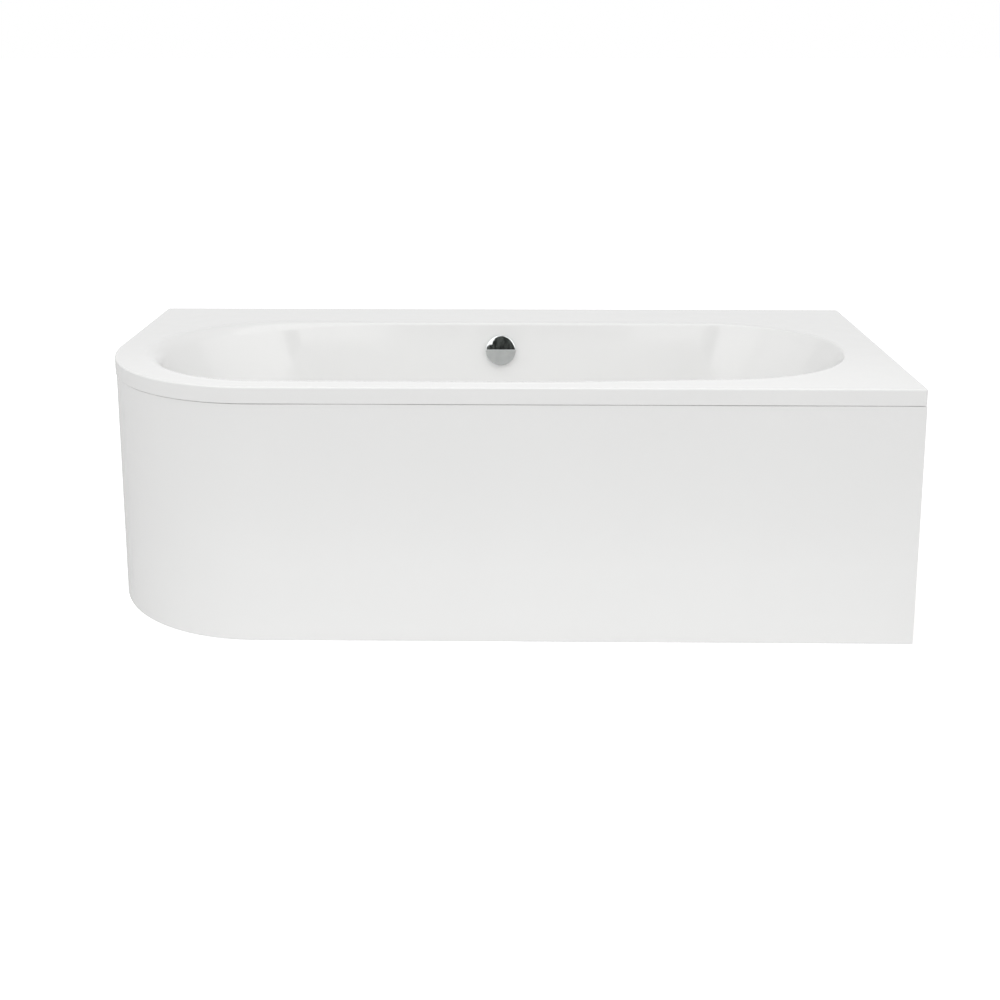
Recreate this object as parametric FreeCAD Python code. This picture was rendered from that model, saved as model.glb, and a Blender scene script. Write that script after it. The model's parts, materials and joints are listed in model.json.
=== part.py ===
"""Corner bathtub, 1700 x 750 mm, with its apron panel, leg set, wall brackets and waste kit.

Row frame: +Z is up, +Y points at the long wall, +X at the short wall. The origin is on the
floor, under the middle of the bath's rectangle. All sizes are millimetres.
"""
import FreeCAD, Part
import math
import os

os.makedirs("parts", exist_ok=True)

V = FreeCAD.Vector
X_AXIS, Y_AXIS, Z_AXIS = V(1, 0, 0), V(0, 1, 0), V(0, 0, 1)

# ---------------------------------------------------------------- driving dimensions
# plan and height
bath_length = 1700.0
bath_width = 750.0
bath_height = 540.0
corner_radius = 350.0          # the large rounded corner, front left
edge_corner_radius = 6.0       # the three square corners of the rim
# shell
acrylic_thickness = 5.0
backing_thickness = 3.0
lip_height = 35.0              # the downturned edge of the rim
lip_edge_radius = 4.0
lip_foot_radius = 1.2
# basin
basin_floor_z = 135.0          # leaves room for the drain and the trap
end_deck_width = 90.0
front_deck_width = 77.0
back_deck_width = 161.0
basin_end_round = 280.0        # how far a half-round end reaches past the straight sides
floor_end_round = 190.0
end_wall_run = 206.0           # how far a wall leans in from the rim to the floor
side_wall_run = 64.0
rim_roll_radius = 25.0
floor_roll_radius = 65.0
# timber
board_thickness = 18.0
board_end_margin = 54.0        # from the floor's outline in to the board's edge
board_side_margin = 32.0
board_corner_radius = 60.0
board_cutout_radius = 60.0
batten_thickness = 18.0
batten_width = 30.0
back_batten_width = 60.0
front_batten_left_margin = 380.0
front_batten_right_margin = 50.0
back_batten_end_margin = 70.0
end_batten_front_y = 0.0
end_batten_back_margin = 115.0
end_batten_gap = 17.0          # between the lip's inner face and an end batten
front_batten_gap = 10.0
back_batten_gap = 30.0
# apron panel
panel_thickness = 5.0
panel_inset = 1.5              # how far the panel's face stands behind the lip's face
panel_gap = 2.5                # the dark line between lip and panel
panel_tongue_height = 20.0     # the part that rises behind the lip
panel_tongue_clearance = 1.5
panel_foot_flange = 20.0
stiffener_width = 40.0
stiffener_thickness = 12.0
stiffener_corner_margin = 200.0   # from the end of the round corner
stiffener_right_margin = 250.0
stiffener_left_margin = 175.0  # from the back edge, on the panel's left side
stiffener_top_gap = 12.0
magnet_length = 40.0
magnet_height = 20.0
magnet_z = 40.0
magnet_standoff = 11.5
bracket_sheet = 3.0
floor_bracket_length = 60.0
floor_bracket_reach = 40.0
floor_bracket_height = 60.0
floor_bracket_hole_radius = 2.75
floor_bracket_hole_reach = 24.0  # from the upright to the holes
floor_bracket_hole_spacing = 36.0
clip_sheet = 1.5
clip_width = 30.0
clip_height = 15.0
clip_reach = 28.0
clip_screw_reach = 19.5         # from the tongue to the clip's screw
clip_corner_margin = 160.0
clip_right_margin = 210.0
clip_middle_offset = 50.0        # beside the middle stiffener
clip_left_margin = 255.0
# leg set
cradle_end_margin = 80.0         # from the board's end in to a cradle's middle
channel_width = 40.0
channel_height = 30.0
channel_sheet = 2.5
channel_front_margin = 18.0
channel_back_margin = 40.0
post_size = 25.0
post_wall = 1.5
post_plate_length = 64.0
post_plate_sheet = 3.0
post_screw_offset = 23.0
front_foot_margin = 75.0
back_foot_margin = 113.0
centre_foot_offset = 88.0        # in front of the basin's middle
centre_bracket_drop = 26.0
centre_bracket_half_width = 20.0
centre_bracket_half_length = 45.0
centre_bracket_depth = 50.0
centre_screw_spacing = 30.0
stud_radius = 6.0
stud_rise = 43.5               # above the channel's web
centre_stud_rise = 11.0
stud_hole_clearance = 0.5
stud_tip_chamfer = 1.0
stud_pocket = 7.0              # how far the stud sits in its pad
thread_clearance = 0.05
nut_flat = 19.0
nut_corner_cut = 1.2
nut_chamfer_height = 0.8
nut_turning_spare = 0.01       # so that the turned shape clears the flats' corners
weld_nut_height = 10.0
lock_nut_height = 7.0
stud_collar_height = 8.0
stud_collar_gap = 1.5
pad_radius = 27.0
pad_neck_radius = 12.0
pad_rim_height = 5.0
pad_height = 15.0
pad_rim_chamfer = 1.5
pad_shoulder_width = 3.0
pad_shoulder_foot = 4.0        # above the pad's rim
pad_shoulder_top = 7.0
# wood screws, one size for all
screw_shank_radius = 2.2
screw_length = 15.0
screw_head_radius = 4.2
screw_head_height = 2.5
screw_head_edge = 1.0
screw_point_length = 3.0
screw_point_radius = 0.3
screw_hole_spare = 0.2
board_screw_offsets = (-110.0, -40.0, 60.0, 120.0)
# wall brackets
wall_bracket_width = 60.0
wall_bracket_height = 77.0
wall_bracket_end_margin = 330.0
wall_bracket_y = 60.0
wall_bracket_hook_height = 20.0
wall_bracket_hook_depth = 11.0
wall_bracket_hole_radius = 3.5
wall_bracket_hole_spacing = 35.0
wall_bracket_hole_drop = 22.0  # from the lip's foot to the upper hole
# overflow, measured along its own axis, square to the sloping wall
overflow_drop = 65.0           # below the rim
wall_hole_radius = 27.0
knob_radius = 36.0
knob_depth = 14.0
knob_wall = 2.0
knob_face = 2.5
knob_wall_gap = 1.5
knob_hub_radius = 18.0
knob_hub_back = 5.0
knob_bar_half_width = 1.2
knob_edge_radius = 1.5
knob_facet_drop = 1.2          # how far each half falls from the bar to the edge
faceplate_radius = 31.0
faceplate_thickness = 2.5
faceplate_boss_radius = 9.0
faceplate_boss_depth = 6.0
faceplate_hole_radius = 4.2
faceplate_hole_circle = 20.5
faceplate_hole_count = 8
faceplate_edge_radius = 0.8
spindle_radius = 5.0
spindle_clearance = 0.05
spindle_entry = 5.0             # how deep the spindle sits in the cap's hub
cap_screw_offset = 13.0          # each side of the spindle
cap_screw_radius = 2.1
cap_screw_head_radius = 3.6
cap_screw_head_height = 1.8
cap_screw_head_edge = 0.8
cap_screw_length = 26.0
cap_screw_slot_half_width = 0.5
cap_screw_slot_depth = 1.0
cap_screw_slot_half_length = 2.2
cap_screw_post_radius = 4.4
cap_screw_post_gap = 2.0         # between the posts and the gasket
gasket_thickness = 4.0
overflow_gasket_radius = 35.0
overflow_body_radius = 33.0
overflow_body_wall = 3.0
overflow_body_depth = 38.0
overflow_flange_radius = 36.0
overflow_flange_thickness = 4.0
overflow_port_depth = 32.0     # behind the wall's inner face
overflow_port_length = 60.0
cable_housing_radius = 14.0
cable_housing_wall = 2.0
cable_housing_depth = 17.0
drum_radius = 5.7
drum_flange_radius = 8.5
drum_width = 5.0
drum_flange_thickness = 1.0
wire_radius = 0.9
wire_gap = 0.02
wrap_sink = 0.18                # how deep the wound wire beds in the drum
wrap_start_x = -5.5             # the wound stretch ends clear of the straight wire
cable_port_radius = 5.0
cable_port_length = 24.0
sheath_radius = 3.0
# overflow hose
hose_radius = 16.0
hose_wall = 2.5
hose_port_wall = 2.0
hose_bend_radius = 50.0
nut_clearance = 0.1
hose_nut_radius = 20.5
hose_nut_length = 18.0
hose_overlap = 15.0            # how far a hose is pushed over its port
hose_nut_overlap = 17.0
clip_web_half_width = 1.2
wire_channel_clearance = 0.3
clip_ring_wall = 1.8
clip_ring_length = 8.0
cable_clip_drops = (100.0, 170.0, 240.0)
cable_turn_x = -130.0
cable_bend_radius = 38.0
# drain
drain_y = 50.0
drain_flange_radius = 36.0
drain_flange_thickness = 2.5
drain_tube_radius = 25.0
drain_tube_bore = 22.5
drain_tube_depth = 30.0
drain_cone_radius = 27.5
drain_spoke_width = 3.0
drain_spoke_height = 4.0
drain_rim_height = 0.8
drain_rim_slope = 2.5
drain_boss_radius = 6.0
drain_boss_height = 9.0
drain_gasket_radius = 40.0
drain_body_flange_radius = 42.0
drain_body_flange_thickness = 5.0
drain_body_radius = 35.0
drain_body_wall = 3.0
drain_body_drop = 83.0         # below the basin's floor, like the next drops
drain_port_drop = 50.0
drain_outlet_drop = 63.0
drain_collar_height = 10.0
drain_hose_port_end_y = 112.0
drain_outlet_radius = 19.0
drain_outlet_wall = 2.5
cable_entry_end_x = -86.0
cable_seat_depth = 14.0        # how far the casing enters the cable port
# plug
plug_radius = 31.0
plug_thickness = 4.0
plug_edge_radius = 2.5
plug_lift_gap = 0.3
plug_stem_entry = 2.0
stem_radius = 3.0
stem_clearance = 0.1
stem_foot_gap = 0.05           # above the lever's nose
stem_collar_radius = 12.0
stem_collar_height = 4.0
seal_thickness = 2.5
seal_gap = 0.3
# lift lever
lever_pivot_x = -17.0
lever_pivot_drop = 57.0
lever_swing = 17.0             # degrees each side of level
lever_arm = 17.0
lever_crank = 16.0
lever_thickness = 6.0
lever_tip_radius = 3.5
lever_arm_half_width = 2.0
lever_crank_half_width = 2.8
lever_hub_radius = 4.0
lever_tail = 8.5               # a short tail that balances the arm
lever_tail_half_width = 4.5
ear_gap = 0.3
ear_thickness = 3.0
ear_half_width = 5.0
ear_rise = 4.5
lever_pin_radius = 1.5
lever_pin_clearance = 0.05
crank_pin_radius = 1.4
crank_pin_clearance = 0.1
crank_pin_overhang = 2.8
cable_end_head = 7.2
cable_end_slot_clearance = 0.4
cable_end_half_height = 4.6
cable_end_nose = 3.4
cable_end_cheek = 2.5
cable_end_web = 2.4
cable_end_rod_radius = 1.5
cable_end_rod_clearance = 0.1
cable_end_rod_length = 34.0
# trap
trap_x = 110.0
trap_radius = 48.0
trap_wall = 3.0
trap_floor_z = 8.0             # clear of the house's floor
trap_top_drop = 35.0
trap_foot_radius = 8.0
trap_inner_foot_radius = 5.0
trap_lid_edge_radius = 1.5
trap_lid_thickness = 5.0
trap_lid_skirt = 5.0
trap_lid_wall = 3.0
trap_socket_wall = 3.5
trap_socket_length = 16.0
dip_pipe_x = 90.0
dip_pipe_radius = 17.0
dip_pipe_wall = 2.0
dip_pipe_foot_gap = 12.0       # above the trap's underside
dip_pipe_cap = 2.0
outlet_drop = 69.0
outlet_pipe_radius = 20.5
outlet_pipe_wall = 2.2
outlet_joint_y = 128.0
outlet_end_margin = 100.0      # from the long wall
spigot_radius = 20.0
spigot_neck_radius = 19.6      # the part that stands in the nut
spigot_neck_spare = 0.5
spigot_chamfer = 1.0
outlet_nut_radius = 27.0
outlet_nut_length = 22.0

# ---------------------------------------------------------------- places worked out from them
left_x, right_x = -bath_length / 2, bath_length / 2
front_y, back_y = -bath_width / 2, bath_width / 2
floor_z = basin_floor_z
basin_depth = bath_height - floor_z
basin_centre_y = (front_deck_width - back_deck_width) / 2
basin_half_length = bath_length / 2 - end_deck_width
basin_half_width = (bath_width - front_deck_width - back_deck_width) / 2
basin_half_straight = basin_half_length - basin_end_round
floor_half_length = basin_half_length - end_wall_run
floor_half_width = basin_half_width - side_wall_run
floor_half_straight = floor_half_length - floor_end_round
lip_foot_z = bath_height - lip_height
deck_under_z = bath_height - acrylic_thickness
batten_top_z = deck_under_z - backing_thickness
batten_foot_z = batten_top_z - batten_thickness
board_top_z = floor_z - acrylic_thickness - backing_thickness
board_foot_z = board_top_z - board_thickness
board_half_length = floor_half_length - board_end_margin
board_half_width = floor_half_width - board_side_margin
cradle_x = board_half_length - cradle_end_margin
centre_foot_y = basin_centre_y - centre_foot_offset
wall_bracket_x = bath_length / 2 - wall_bracket_end_margin
panel_top_z = lip_foot_z - panel_gap
panel_back_inset = panel_inset + panel_thickness
tongue_inset = acrylic_thickness + panel_tongue_clearance
side_slope = math.atan2(basin_half_width - floor_half_width, basin_depth)
end_slope = math.atan2(basin_half_length - floor_half_length, basin_depth)
web_under_z = board_foot_z - channel_sheet
channel_front_y, channel_back_y = front_y + channel_front_margin, back_y - channel_back_margin
front_foot_y, back_foot_y = front_y + front_foot_margin, back_y - back_foot_margin
stud_top_z = web_under_z + stud_rise
centre_web_under_z = board_foot_z - centre_bracket_drop
stiffener_left_y = back_y - stiffener_left_margin
front_start_x = left_x + corner_radius
stiffener_first_x = front_start_x + stiffener_corner_margin
stiffener_last_x = right_x - stiffener_right_margin
stiffener_middle_x = (stiffener_first_x + stiffener_last_x) / 2
stiffener_xs = (stiffener_first_x, stiffener_middle_x, stiffener_last_x)
clip_middle_x = stiffener_middle_x - clip_middle_offset
clip_xs = (front_start_x + clip_corner_margin, clip_middle_x, right_x - clip_right_margin)
clip_left_y = back_y - clip_left_margin
end_batten_back_y = back_y - end_batten_back_margin
front_batten_left_x = left_x + front_batten_left_margin
front_batten_right_x = right_x - front_batten_right_margin
back_batten_half_length = bath_length / 2 - back_batten_end_margin
overflow_z = bath_height - overflow_drop
drain_body_floor_z = floor_z - drain_body_drop
drain_hose_port_z = floor_z - drain_port_drop
drain_outlet_z = floor_z - drain_outlet_drop
lever_pivot_z = floor_z - lever_pivot_drop
trap_top_z = floor_z - trap_top_drop
dip_pipe_foot_z = trap_floor_z + dip_pipe_foot_gap
outlet_z = floor_z - outlet_drop
outlet_end_y = back_y - outlet_end_margin
cable_entry_z = lever_pivot_z + lever_crank * (1 + math.cos(math.radians(lever_swing))) / 2
wire_offset = drum_radius + wire_radius + wire_gap


# ---------------------------------------------------------------- small helpers
def box(x0, x1, y0, y1, z0, z1):
    """A block between two corners."""
    return Part.makeBox(x1 - x0, y1 - y0, z1 - z0, V(x0, y0, z0))


def rod(radius, start, end):
    """A round bar from one point to another."""
    along = end - start
    return Part.makeCylinder(radius, along.Length, start, along)


def pipe(radius, bore, start, end):
    """A round tube from one point to another."""
    return rod(radius, start, end).cut(rod(bore, start, end))


def hexagon(flat, start, height):
    """An upright hexagonal prism, flat to flat."""
    reach = flat / math.sqrt(3)
    angles = [math.radians(60 * i) for i in range(7)]
    points = [start + V(reach * math.cos(a), reach * math.sin(a), 0) for a in angles]
    return Part.Face(Part.makePolygon(points)).extrude(V(0, 0, height))


def fuse(shapes):
    """One solid from several that touch."""
    return shapes[0].multiFuse(shapes[1:]).removeSplitter()


def group(shapes):
    """Separate solids kept together in one node."""
    return Part.makeCompound(shapes)


def profile_turn(points):
    """A solid of revolution about Z from a closed (radius, z) outline."""
    closed = [V(r, 0, z) for r, z in points] + [V(points[0][0], 0, points[0][1])]
    return Part.Face(Part.makePolygon(closed)).revolve(V(0, 0, 0), Z_AXIS, 360)


def round_edges(shape, radius, wanted):
    """Rounds the edges for which wanted(edge) is true."""
    return shape.makeFillet(radius, [e for e in shape.Edges if wanted(e)])


def flat_at(edge, z):
    """True for an edge that lies in the level plane at z."""
    return abs(edge.BoundBox.ZMin - z) < 1e-3 and abs(edge.BoundBox.ZMax - z) < 1e-3


def level_face(shape, z, up):
    """The largest level face at height z that looks up or down."""
    found = []
    for face in shape.Faces:
        if abs(face.BoundBox.ZMin - z) < 1e-3 and abs(face.BoundBox.ZMax - z) < 1e-3:
            if (face.normalAt(0, 0).z > 0) == up:
                found.append(face)
    return max(found, key=lambda face: face.BoundBox.DiagonalLength)


def inner_edges(face):
    """The edges of a face's holes."""
    outer = face.OuterWire
    return [e for w in face.Wires if not w.isSame(outer) for e in w.Edges]


def save(name, shape):
    """Writes one node, after checking that all of it is sound."""
    for solid in shape.Solids:
        if not solid.isValid() or solid.Volume <= 0:
            raise ValueError(name + " holds a bad solid")
    if not shape.Solids:
        raise ValueError(name + " holds no solid")
    shape.exportStep(os.path.join("parts", name + ".step"))


# ---------------------------------------------------------------- outlines
def corner_loop(corners, z):
    """A closed wire round right-angled corners (x, y, radius), anticlockwise."""
    edges, last = [], None
    for i, (x, y, radius) in enumerate(corners):
        before, after = corners[i - 1], corners[(i + 1) % len(corners)]
        at = V(x, y, z)
        back = (V(before[0], before[1], z) - at).normalize()
        ahead = (V(after[0], after[1], z) - at).normalize()
        centre = at + (back + ahead) * radius
        middle = centre - (back + ahead).normalize() * radius
        arc = Part.Arc(at + back * radius, middle, at + ahead * radius).toShape()
        if last is not None:
            edges.append(Part.makeLine(last, at + back * radius))
        edges.append(arc)
        last = at + ahead * radius
    edges.append(Part.makeLine(last, edges[0].Vertexes[0].Point))
    return Part.Wire(edges)


def rim_plate(inset, z0, z1):
    """The bath's plan, moved in by inset, as a plate."""
    small = max(edge_corner_radius - inset, lip_foot_radius)
    corners = [
        (right_x - inset, front_y + inset, small),
        (right_x - inset, back_y - inset, small),
        (left_x + inset, back_y - inset, small),
        (left_x + inset, front_y + inset, corner_radius - inset),
    ]
    return Part.Face(corner_loop(corners, z0)).extrude(V(0, 0, z1 - z0))


def apron_band(outer, inner, z0, z1):
    """A band that follows the bath's front, its round corner and its left side."""
    turn_x, turn_y = front_start_x, front_y + corner_radius
    reach = math.sqrt(0.5)

    def rail(inset):
        radius = corner_radius - inset
        middle = V(turn_x - radius * reach, turn_y - radius * reach, z0)
        arc = Part.Arc(V(turn_x, front_y + inset, z0), middle, V(left_x + inset, turn_y, z0))
        front = Part.makeLine(V(right_x, front_y + inset, z0), V(turn_x, front_y + inset, z0))
        side = Part.makeLine(V(left_x + inset, turn_y, z0), V(left_x + inset, back_y, z0))
        return [front, arc.toShape(), side]

    near = Part.makeLine(V(right_x, front_y + outer, z0), V(right_x, front_y + inner, z0))
    far = Part.makeLine(V(left_x + outer, back_y, z0), V(left_x + inner, back_y, z0))
    edges = Part.sortEdges(rail(outer) + rail(inner) + [near, far])[0]
    return Part.Face(Part.Wire(edges)).extrude(V(0, 0, z1 - z0))


def half_ellipse(centre, reach, width, side):
    """Half an ellipse that bulges along X by reach on the given side (+1 or -1)."""
    tip, top = V(reach * side, 0, 0), V(0, width * side, 0)
    if reach >= width:
        curve = Part.Ellipse(centre + tip, centre + top, centre)
        return Part.ArcOfEllipse(curve, -math.pi / 2, math.pi / 2).toShape()
    curve = Part.Ellipse(centre + top, centre - tip, centre)
    return Part.ArcOfEllipse(curve, -math.pi, 0).toShape()


def basin_loop(z, skin):
    """The basin's outline at height z, moved out by the thickness skin."""
    share = (z - floor_z) / basin_depth
    length = floor_half_length + share * (basin_half_length - floor_half_length)
    width = floor_half_width + share * (basin_half_width - floor_half_width)
    straight = floor_half_straight + share * (basin_half_straight - floor_half_straight)
    length += skin / math.cos(end_slope)
    width += skin / math.cos(side_slope)
    y0, y1 = basin_centre_y - width, basin_centre_y + width
    edges = [
        Part.makeLine(V(-straight, y0, z), V(straight, y0, z)),
        half_ellipse(V(straight, basin_centre_y, z), length - straight, width, 1),
        Part.makeLine(V(straight, y1, z), V(-straight, y1, z)),
        half_ellipse(V(-straight, basin_centre_y, z), length - straight, width, -1),
    ]
    return Part.Wire(edges)


def basin(skin, top_z):
    """The basin's room, grown by skin, with its rolled floor edge, up to top_z."""
    foot = floor_z - skin
    room = Part.makeLoft([basin_loop(foot, skin), basin_loop(top_z, skin)], True, True)
    return round_edges(room, floor_roll_radius + skin, lambda e: flat_at(e, foot))


# ---------------------------------------------------------------- shell
def overflow_frame():
    """The overflow's own frame: origin on the wall, Z into the basin, Y up the wall."""
    share = (overflow_z - floor_z) / basin_depth
    width = floor_half_width + share * (basin_half_width - floor_half_width)
    s, c = math.sin(side_slope), math.cos(side_slope)
    y = basin_centre_y + width
    return FreeCAD.Matrix(1, 0, 0, 0, 0, s, -c, y, 0, c, s, overflow_z, 0, 0, 0, 1)


OVERFLOW = overflow_frame()


def on_wall(shape):
    """Moves a shape made about the overflow's axis to its place on the wall."""
    placed = shape.copy()
    placed.Placement = FreeCAD.Placement(OVERFLOW).multiply(placed.Placement)
    return placed


def wall_point(x, up, out):
    """A point of the overflow's frame, in the row frame."""
    return OVERFLOW.multVec(V(x, up, out))


def shell_holes():
    """The overflow's hole and the drain's hole, as cutters."""
    reach = 3 * (acrylic_thickness + backing_thickness)
    overflow = on_wall(rod(wall_hole_radius, V(0, 0, -reach), V(0, 0, reach)))
    drain = rod(wall_hole_radius, V(0, drain_y, floor_z - reach), V(0, drain_y, floor_z + reach))
    return [overflow, drain]


def acrylic_shell():
    """Rim, lip and basin, formed from one sheet."""
    tray = rim_plate(0, lip_foot_z, bath_height)
    tray = tray.cut(rim_plate(acrylic_thickness, lip_foot_z, deck_under_z))
    shell = tray.fuse(basin(acrylic_thickness, bath_height))
    shell = shell.cut(basin(0, bath_height + acrylic_thickness)).removeSplitter()
    rim_edges = inner_edges(level_face(shell, bath_height, True))
    shell = shell.makeFillet(rim_roll_radius, rim_edges)
    under = inner_edges(level_face(shell, deck_under_z, False))
    shell = shell.makeFillet(rim_roll_radius - acrylic_thickness, under)
    shell = shell.makeFillet(lip_edge_radius, level_face(shell, bath_height, True).OuterWire.Edges)
    shell = shell.makeFillet(lip_foot_radius, level_face(shell, lip_foot_z, False).OuterWire.Edges)
    for hole in shell_holes():
        shell = shell.cut(hole)
    return shell


def fibreglass_backing(shell):
    """The layer that is sprayed on the sheet's hidden side."""
    skin = acrylic_thickness + backing_thickness
    layer = rim_plate(acrylic_thickness, batten_top_z, deck_under_z)
    layer = layer.fuse(basin(skin, deck_under_z)).removeSplitter()
    under = inner_edges(level_face(layer, batten_top_z, False))
    layer = layer.makeFillet(rim_roll_radius - skin, under)
    layer = layer.cut(basin(acrylic_thickness, bath_height)).cut(shell)
    for hole in shell_holes():
        layer = layer.cut(hole)
    return max(layer.Solids, key=lambda solid: solid.BoundBox.DiagonalLength)


# ---------------------------------------------------------------- timber under the bath
def base_board():
    """The board under the basin's floor, with the drain's cut-out."""
    y0, y1 = basin_centre_y - board_half_width, basin_centre_y + board_half_width
    reach, radius = board_half_length, board_corner_radius
    corners = [(reach, y0, radius), (reach, y1, radius), (-reach, y1, radius), (-reach, y0, radius)]
    board = Part.Face(corner_loop(corners, board_foot_z)).extrude(V(0, 0, board_thickness))
    cutout = rod(board_cutout_radius, V(0, drain_y, board_foot_z), V(0, drain_y, board_top_z))
    return board.cut(cutout)


def rim_battens():
    """The four battens glued under the deck: front, back, left, right."""
    z0, z1 = batten_foot_z, batten_top_z
    y = front_y + acrylic_thickness + front_batten_gap
    front = box(front_batten_left_x, front_batten_right_x, y, y + batten_width, z0, z1)
    y = back_y - acrylic_thickness - back_batten_gap
    back = box(-back_batten_half_length, back_batten_half_length, y - back_batten_width, y, z0, z1)
    x = right_x - acrylic_thickness - end_batten_gap
    right = box(x - batten_width, x, end_batten_front_y, end_batten_back_y, z0, z1)
    x = left_x + acrylic_thickness + end_batten_gap
    left = box(x, x + batten_width, end_batten_front_y, end_batten_back_y, z0, z1)
    return [front, back, left, right]


# ---------------------------------------------------------------- leg set
POST_YS = (channel_front_y + post_size / 2, channel_back_y - post_size / 2)
FEET = (
    ("front_left", -cradle_x, front_foot_y, web_under_z, stud_top_z),
    ("front_right", cradle_x, front_foot_y, web_under_z, stud_top_z),
    ("back_left", -cradle_x, back_foot_y, web_under_z, stud_top_z),
    ("back_right", cradle_x, back_foot_y, web_under_z, stud_top_z),
    ("centre", 0.0, centre_foot_y, centre_web_under_z, centre_web_under_z + centre_stud_rise),
)


def screw_seats():
    """Where each wood screw's head bears, by what it holds."""
    seats = {"board": [], "batten": [], "centre": [], "clip": []}
    for x in (-cradle_x, cradle_x):
        for offset in board_screw_offsets:
            seats["board"].append(V(x, basin_centre_y + offset, web_under_z))
        for y in POST_YS:
            for side in (-post_screw_offset, post_screw_offset):
                seats["batten"].append(V(x + side, y, batten_foot_z - post_plate_sheet))
    for side in (-1, 1):
        reach = side * (centre_bracket_half_width + centre_bracket_half_length) / 2
        for offset in (-centre_screw_spacing / 2, centre_screw_spacing / 2):
            seats["centre"].append(V(reach, centre_foot_y + offset, board_foot_z - channel_sheet))
    inset = tongue_inset + panel_thickness + clip_screw_reach
    for x in clip_xs:
        seats["clip"].append(V(x, front_y + inset, batten_foot_z - clip_sheet))
    seats["clip"].append(V(left_x + inset, clip_left_y, batten_foot_z - clip_sheet))
    return seats


SEATS = screw_seats()


def wood_screw(seat):
    """A pan head below its seat and a pointed shank above it."""
    head = rod(screw_head_radius, seat - Z_AXIS * screw_head_height, seat)
    head = round_edges(head, screw_head_edge, lambda e: flat_at(e, seat.z - screw_head_height))
    point_at = seat + Z_AXIS * (screw_length - screw_point_length)
    shank = rod(screw_shank_radius, seat, point_at)
    point = Part.makeCone(screw_shank_radius, screw_point_radius, screw_point_length, point_at)
    return fuse([head, shank, point])


def screw_hole(seat):
    """The room of a wood screw's shank."""
    return rod(screw_shank_radius, seat, seat + Z_AXIS * (screw_length + screw_hole_spare))


def drill(shape, kinds):
    """Cuts the screw holes of the named kinds."""
    for kind in kinds:
        for seat in SEATS[kind]:
            shape = shape.cut(screw_hole(seat))
    return shape


def cradle(x):
    """A cross channel under the board, with its two posts and their plates, welded up."""
    half, sheet = channel_width / 2, channel_sheet
    y0, y1, z0 = channel_front_y, channel_back_y, board_foot_z - channel_height
    channel = box(x - half, x + half, y0, y1, z0, board_foot_z)
    channel = channel.cut(box(x - half + sheet, x + half - sheet, y0, y1, z0, web_under_z))
    parts = [channel]
    for y in POST_YS:
        top, side, inner = batten_foot_z - post_plate_sheet, post_size / 2, post_size / 2 - post_wall
        post = box(x - side, x + side, y - side, y + side, board_foot_z, top)
        post = post.cut(box(x - inner, x + inner, y - inner, y + inner, board_foot_z, top))
        reach = post_plate_length / 2
        parts += [post, box(x - reach, x + reach, y - side, y + side, top, batten_foot_z)]
    made = fuse(parts)
    for y in (front_foot_y, back_foot_y):
        made = made.cut(rod(stud_radius + stud_hole_clearance, V(x, y, z0), V(x, y, board_foot_z)))
    return drill(made, ["board", "batten"])


def centre_bracket():
    """The folded bracket under the board that holds the fifth foot."""
    sheet, low = channel_sheet, board_foot_z - centre_bracket_drop
    wide, reach = centre_bracket_half_width, centre_bracket_half_length
    y0, y1 = centre_foot_y - centre_bracket_depth / 2, centre_foot_y + centre_bracket_depth / 2
    made = box(-wide, wide, y0, y1, low, board_foot_z)
    made = made.cut(box(-wide + sheet, wide - sheet, y0, y1, low + sheet, board_foot_z))
    for side in (-1, 1):
        x0, x1 = sorted((side * (wide - sheet), side * reach))
        made = made.fuse(box(x0, x1, y0, y1, board_foot_z - sheet, board_foot_z))
    made = made.removeSplitter()
    hole = rod(stud_radius + stud_hole_clearance, V(0, centre_foot_y, low), V(0, centre_foot_y, low + sheet))
    return drill(made.cut(hole), ["centre"])


def nut(x, y, top, height):
    """A hexagonal nut with chamfered corners, on an upright stud."""
    body = hexagon(nut_flat, V(x, y, top - height), height)
    across = nut_flat / math.sqrt(3)
    low, high = across - nut_corner_cut, across + nut_turning_spare
    near, far = nut_chamfer_height, height - nut_chamfer_height
    turned = profile_turn([(0, 0), (low, 0), (high, near), (high, far), (low, height), (0, height)])
    turned.translate(V(x, y, top - height))
    bore = rod(stud_radius + thread_clearance, V(x, y, top - height), V(x, y, top))
    return body.common(turned).cut(bore)


def weld_nuts():
    """One nut under each web."""
    return group([nut(x, y, web, weld_nut_height) for _, x, y, web, _ in FEET])


def lock_nuts():
    """One thin nut, tight under each weld nut."""
    return group([nut(x, y, web - weld_nut_height, lock_nut_height) for _, x, y, web, _ in FEET])


def foot_stud(x, y, top):
    """A levelling stud with the hexagon that a spanner turns."""
    low = pad_height - stud_pocket
    shaft = rod(stud_radius, V(x, y, low), V(x, y, top))
    shaft = shaft.makeChamfer(stud_tip_chamfer, [e for e in shaft.Edges if flat_at(e, top)])
    return fuse([shaft, hexagon(nut_flat, V(x, y, pad_height + stud_collar_gap), stud_collar_height)])


def foot_pad(x, y):
    """The moulded pad that the stud stands in."""
    rim, neck = pad_rim_height, pad_neck_radius
    outline = [(0, 0), (pad_radius - pad_rim_chamfer, 0), (pad_radius, pad_rim_chamfer), (pad_radius, rim)]
    outline += [(neck + pad_shoulder_width, rim + pad_shoulder_foot), (neck, rim + pad_shoulder_top)]
    outline += [(neck, pad_height), (0, pad_height)]
    pad = profile_turn(outline)
    pad.translate(V(x, y, 0))
    return pad.cut(rod(stud_radius, V(x, y, pad_height - stud_pocket), V(x, y, pad_height)))


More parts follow.
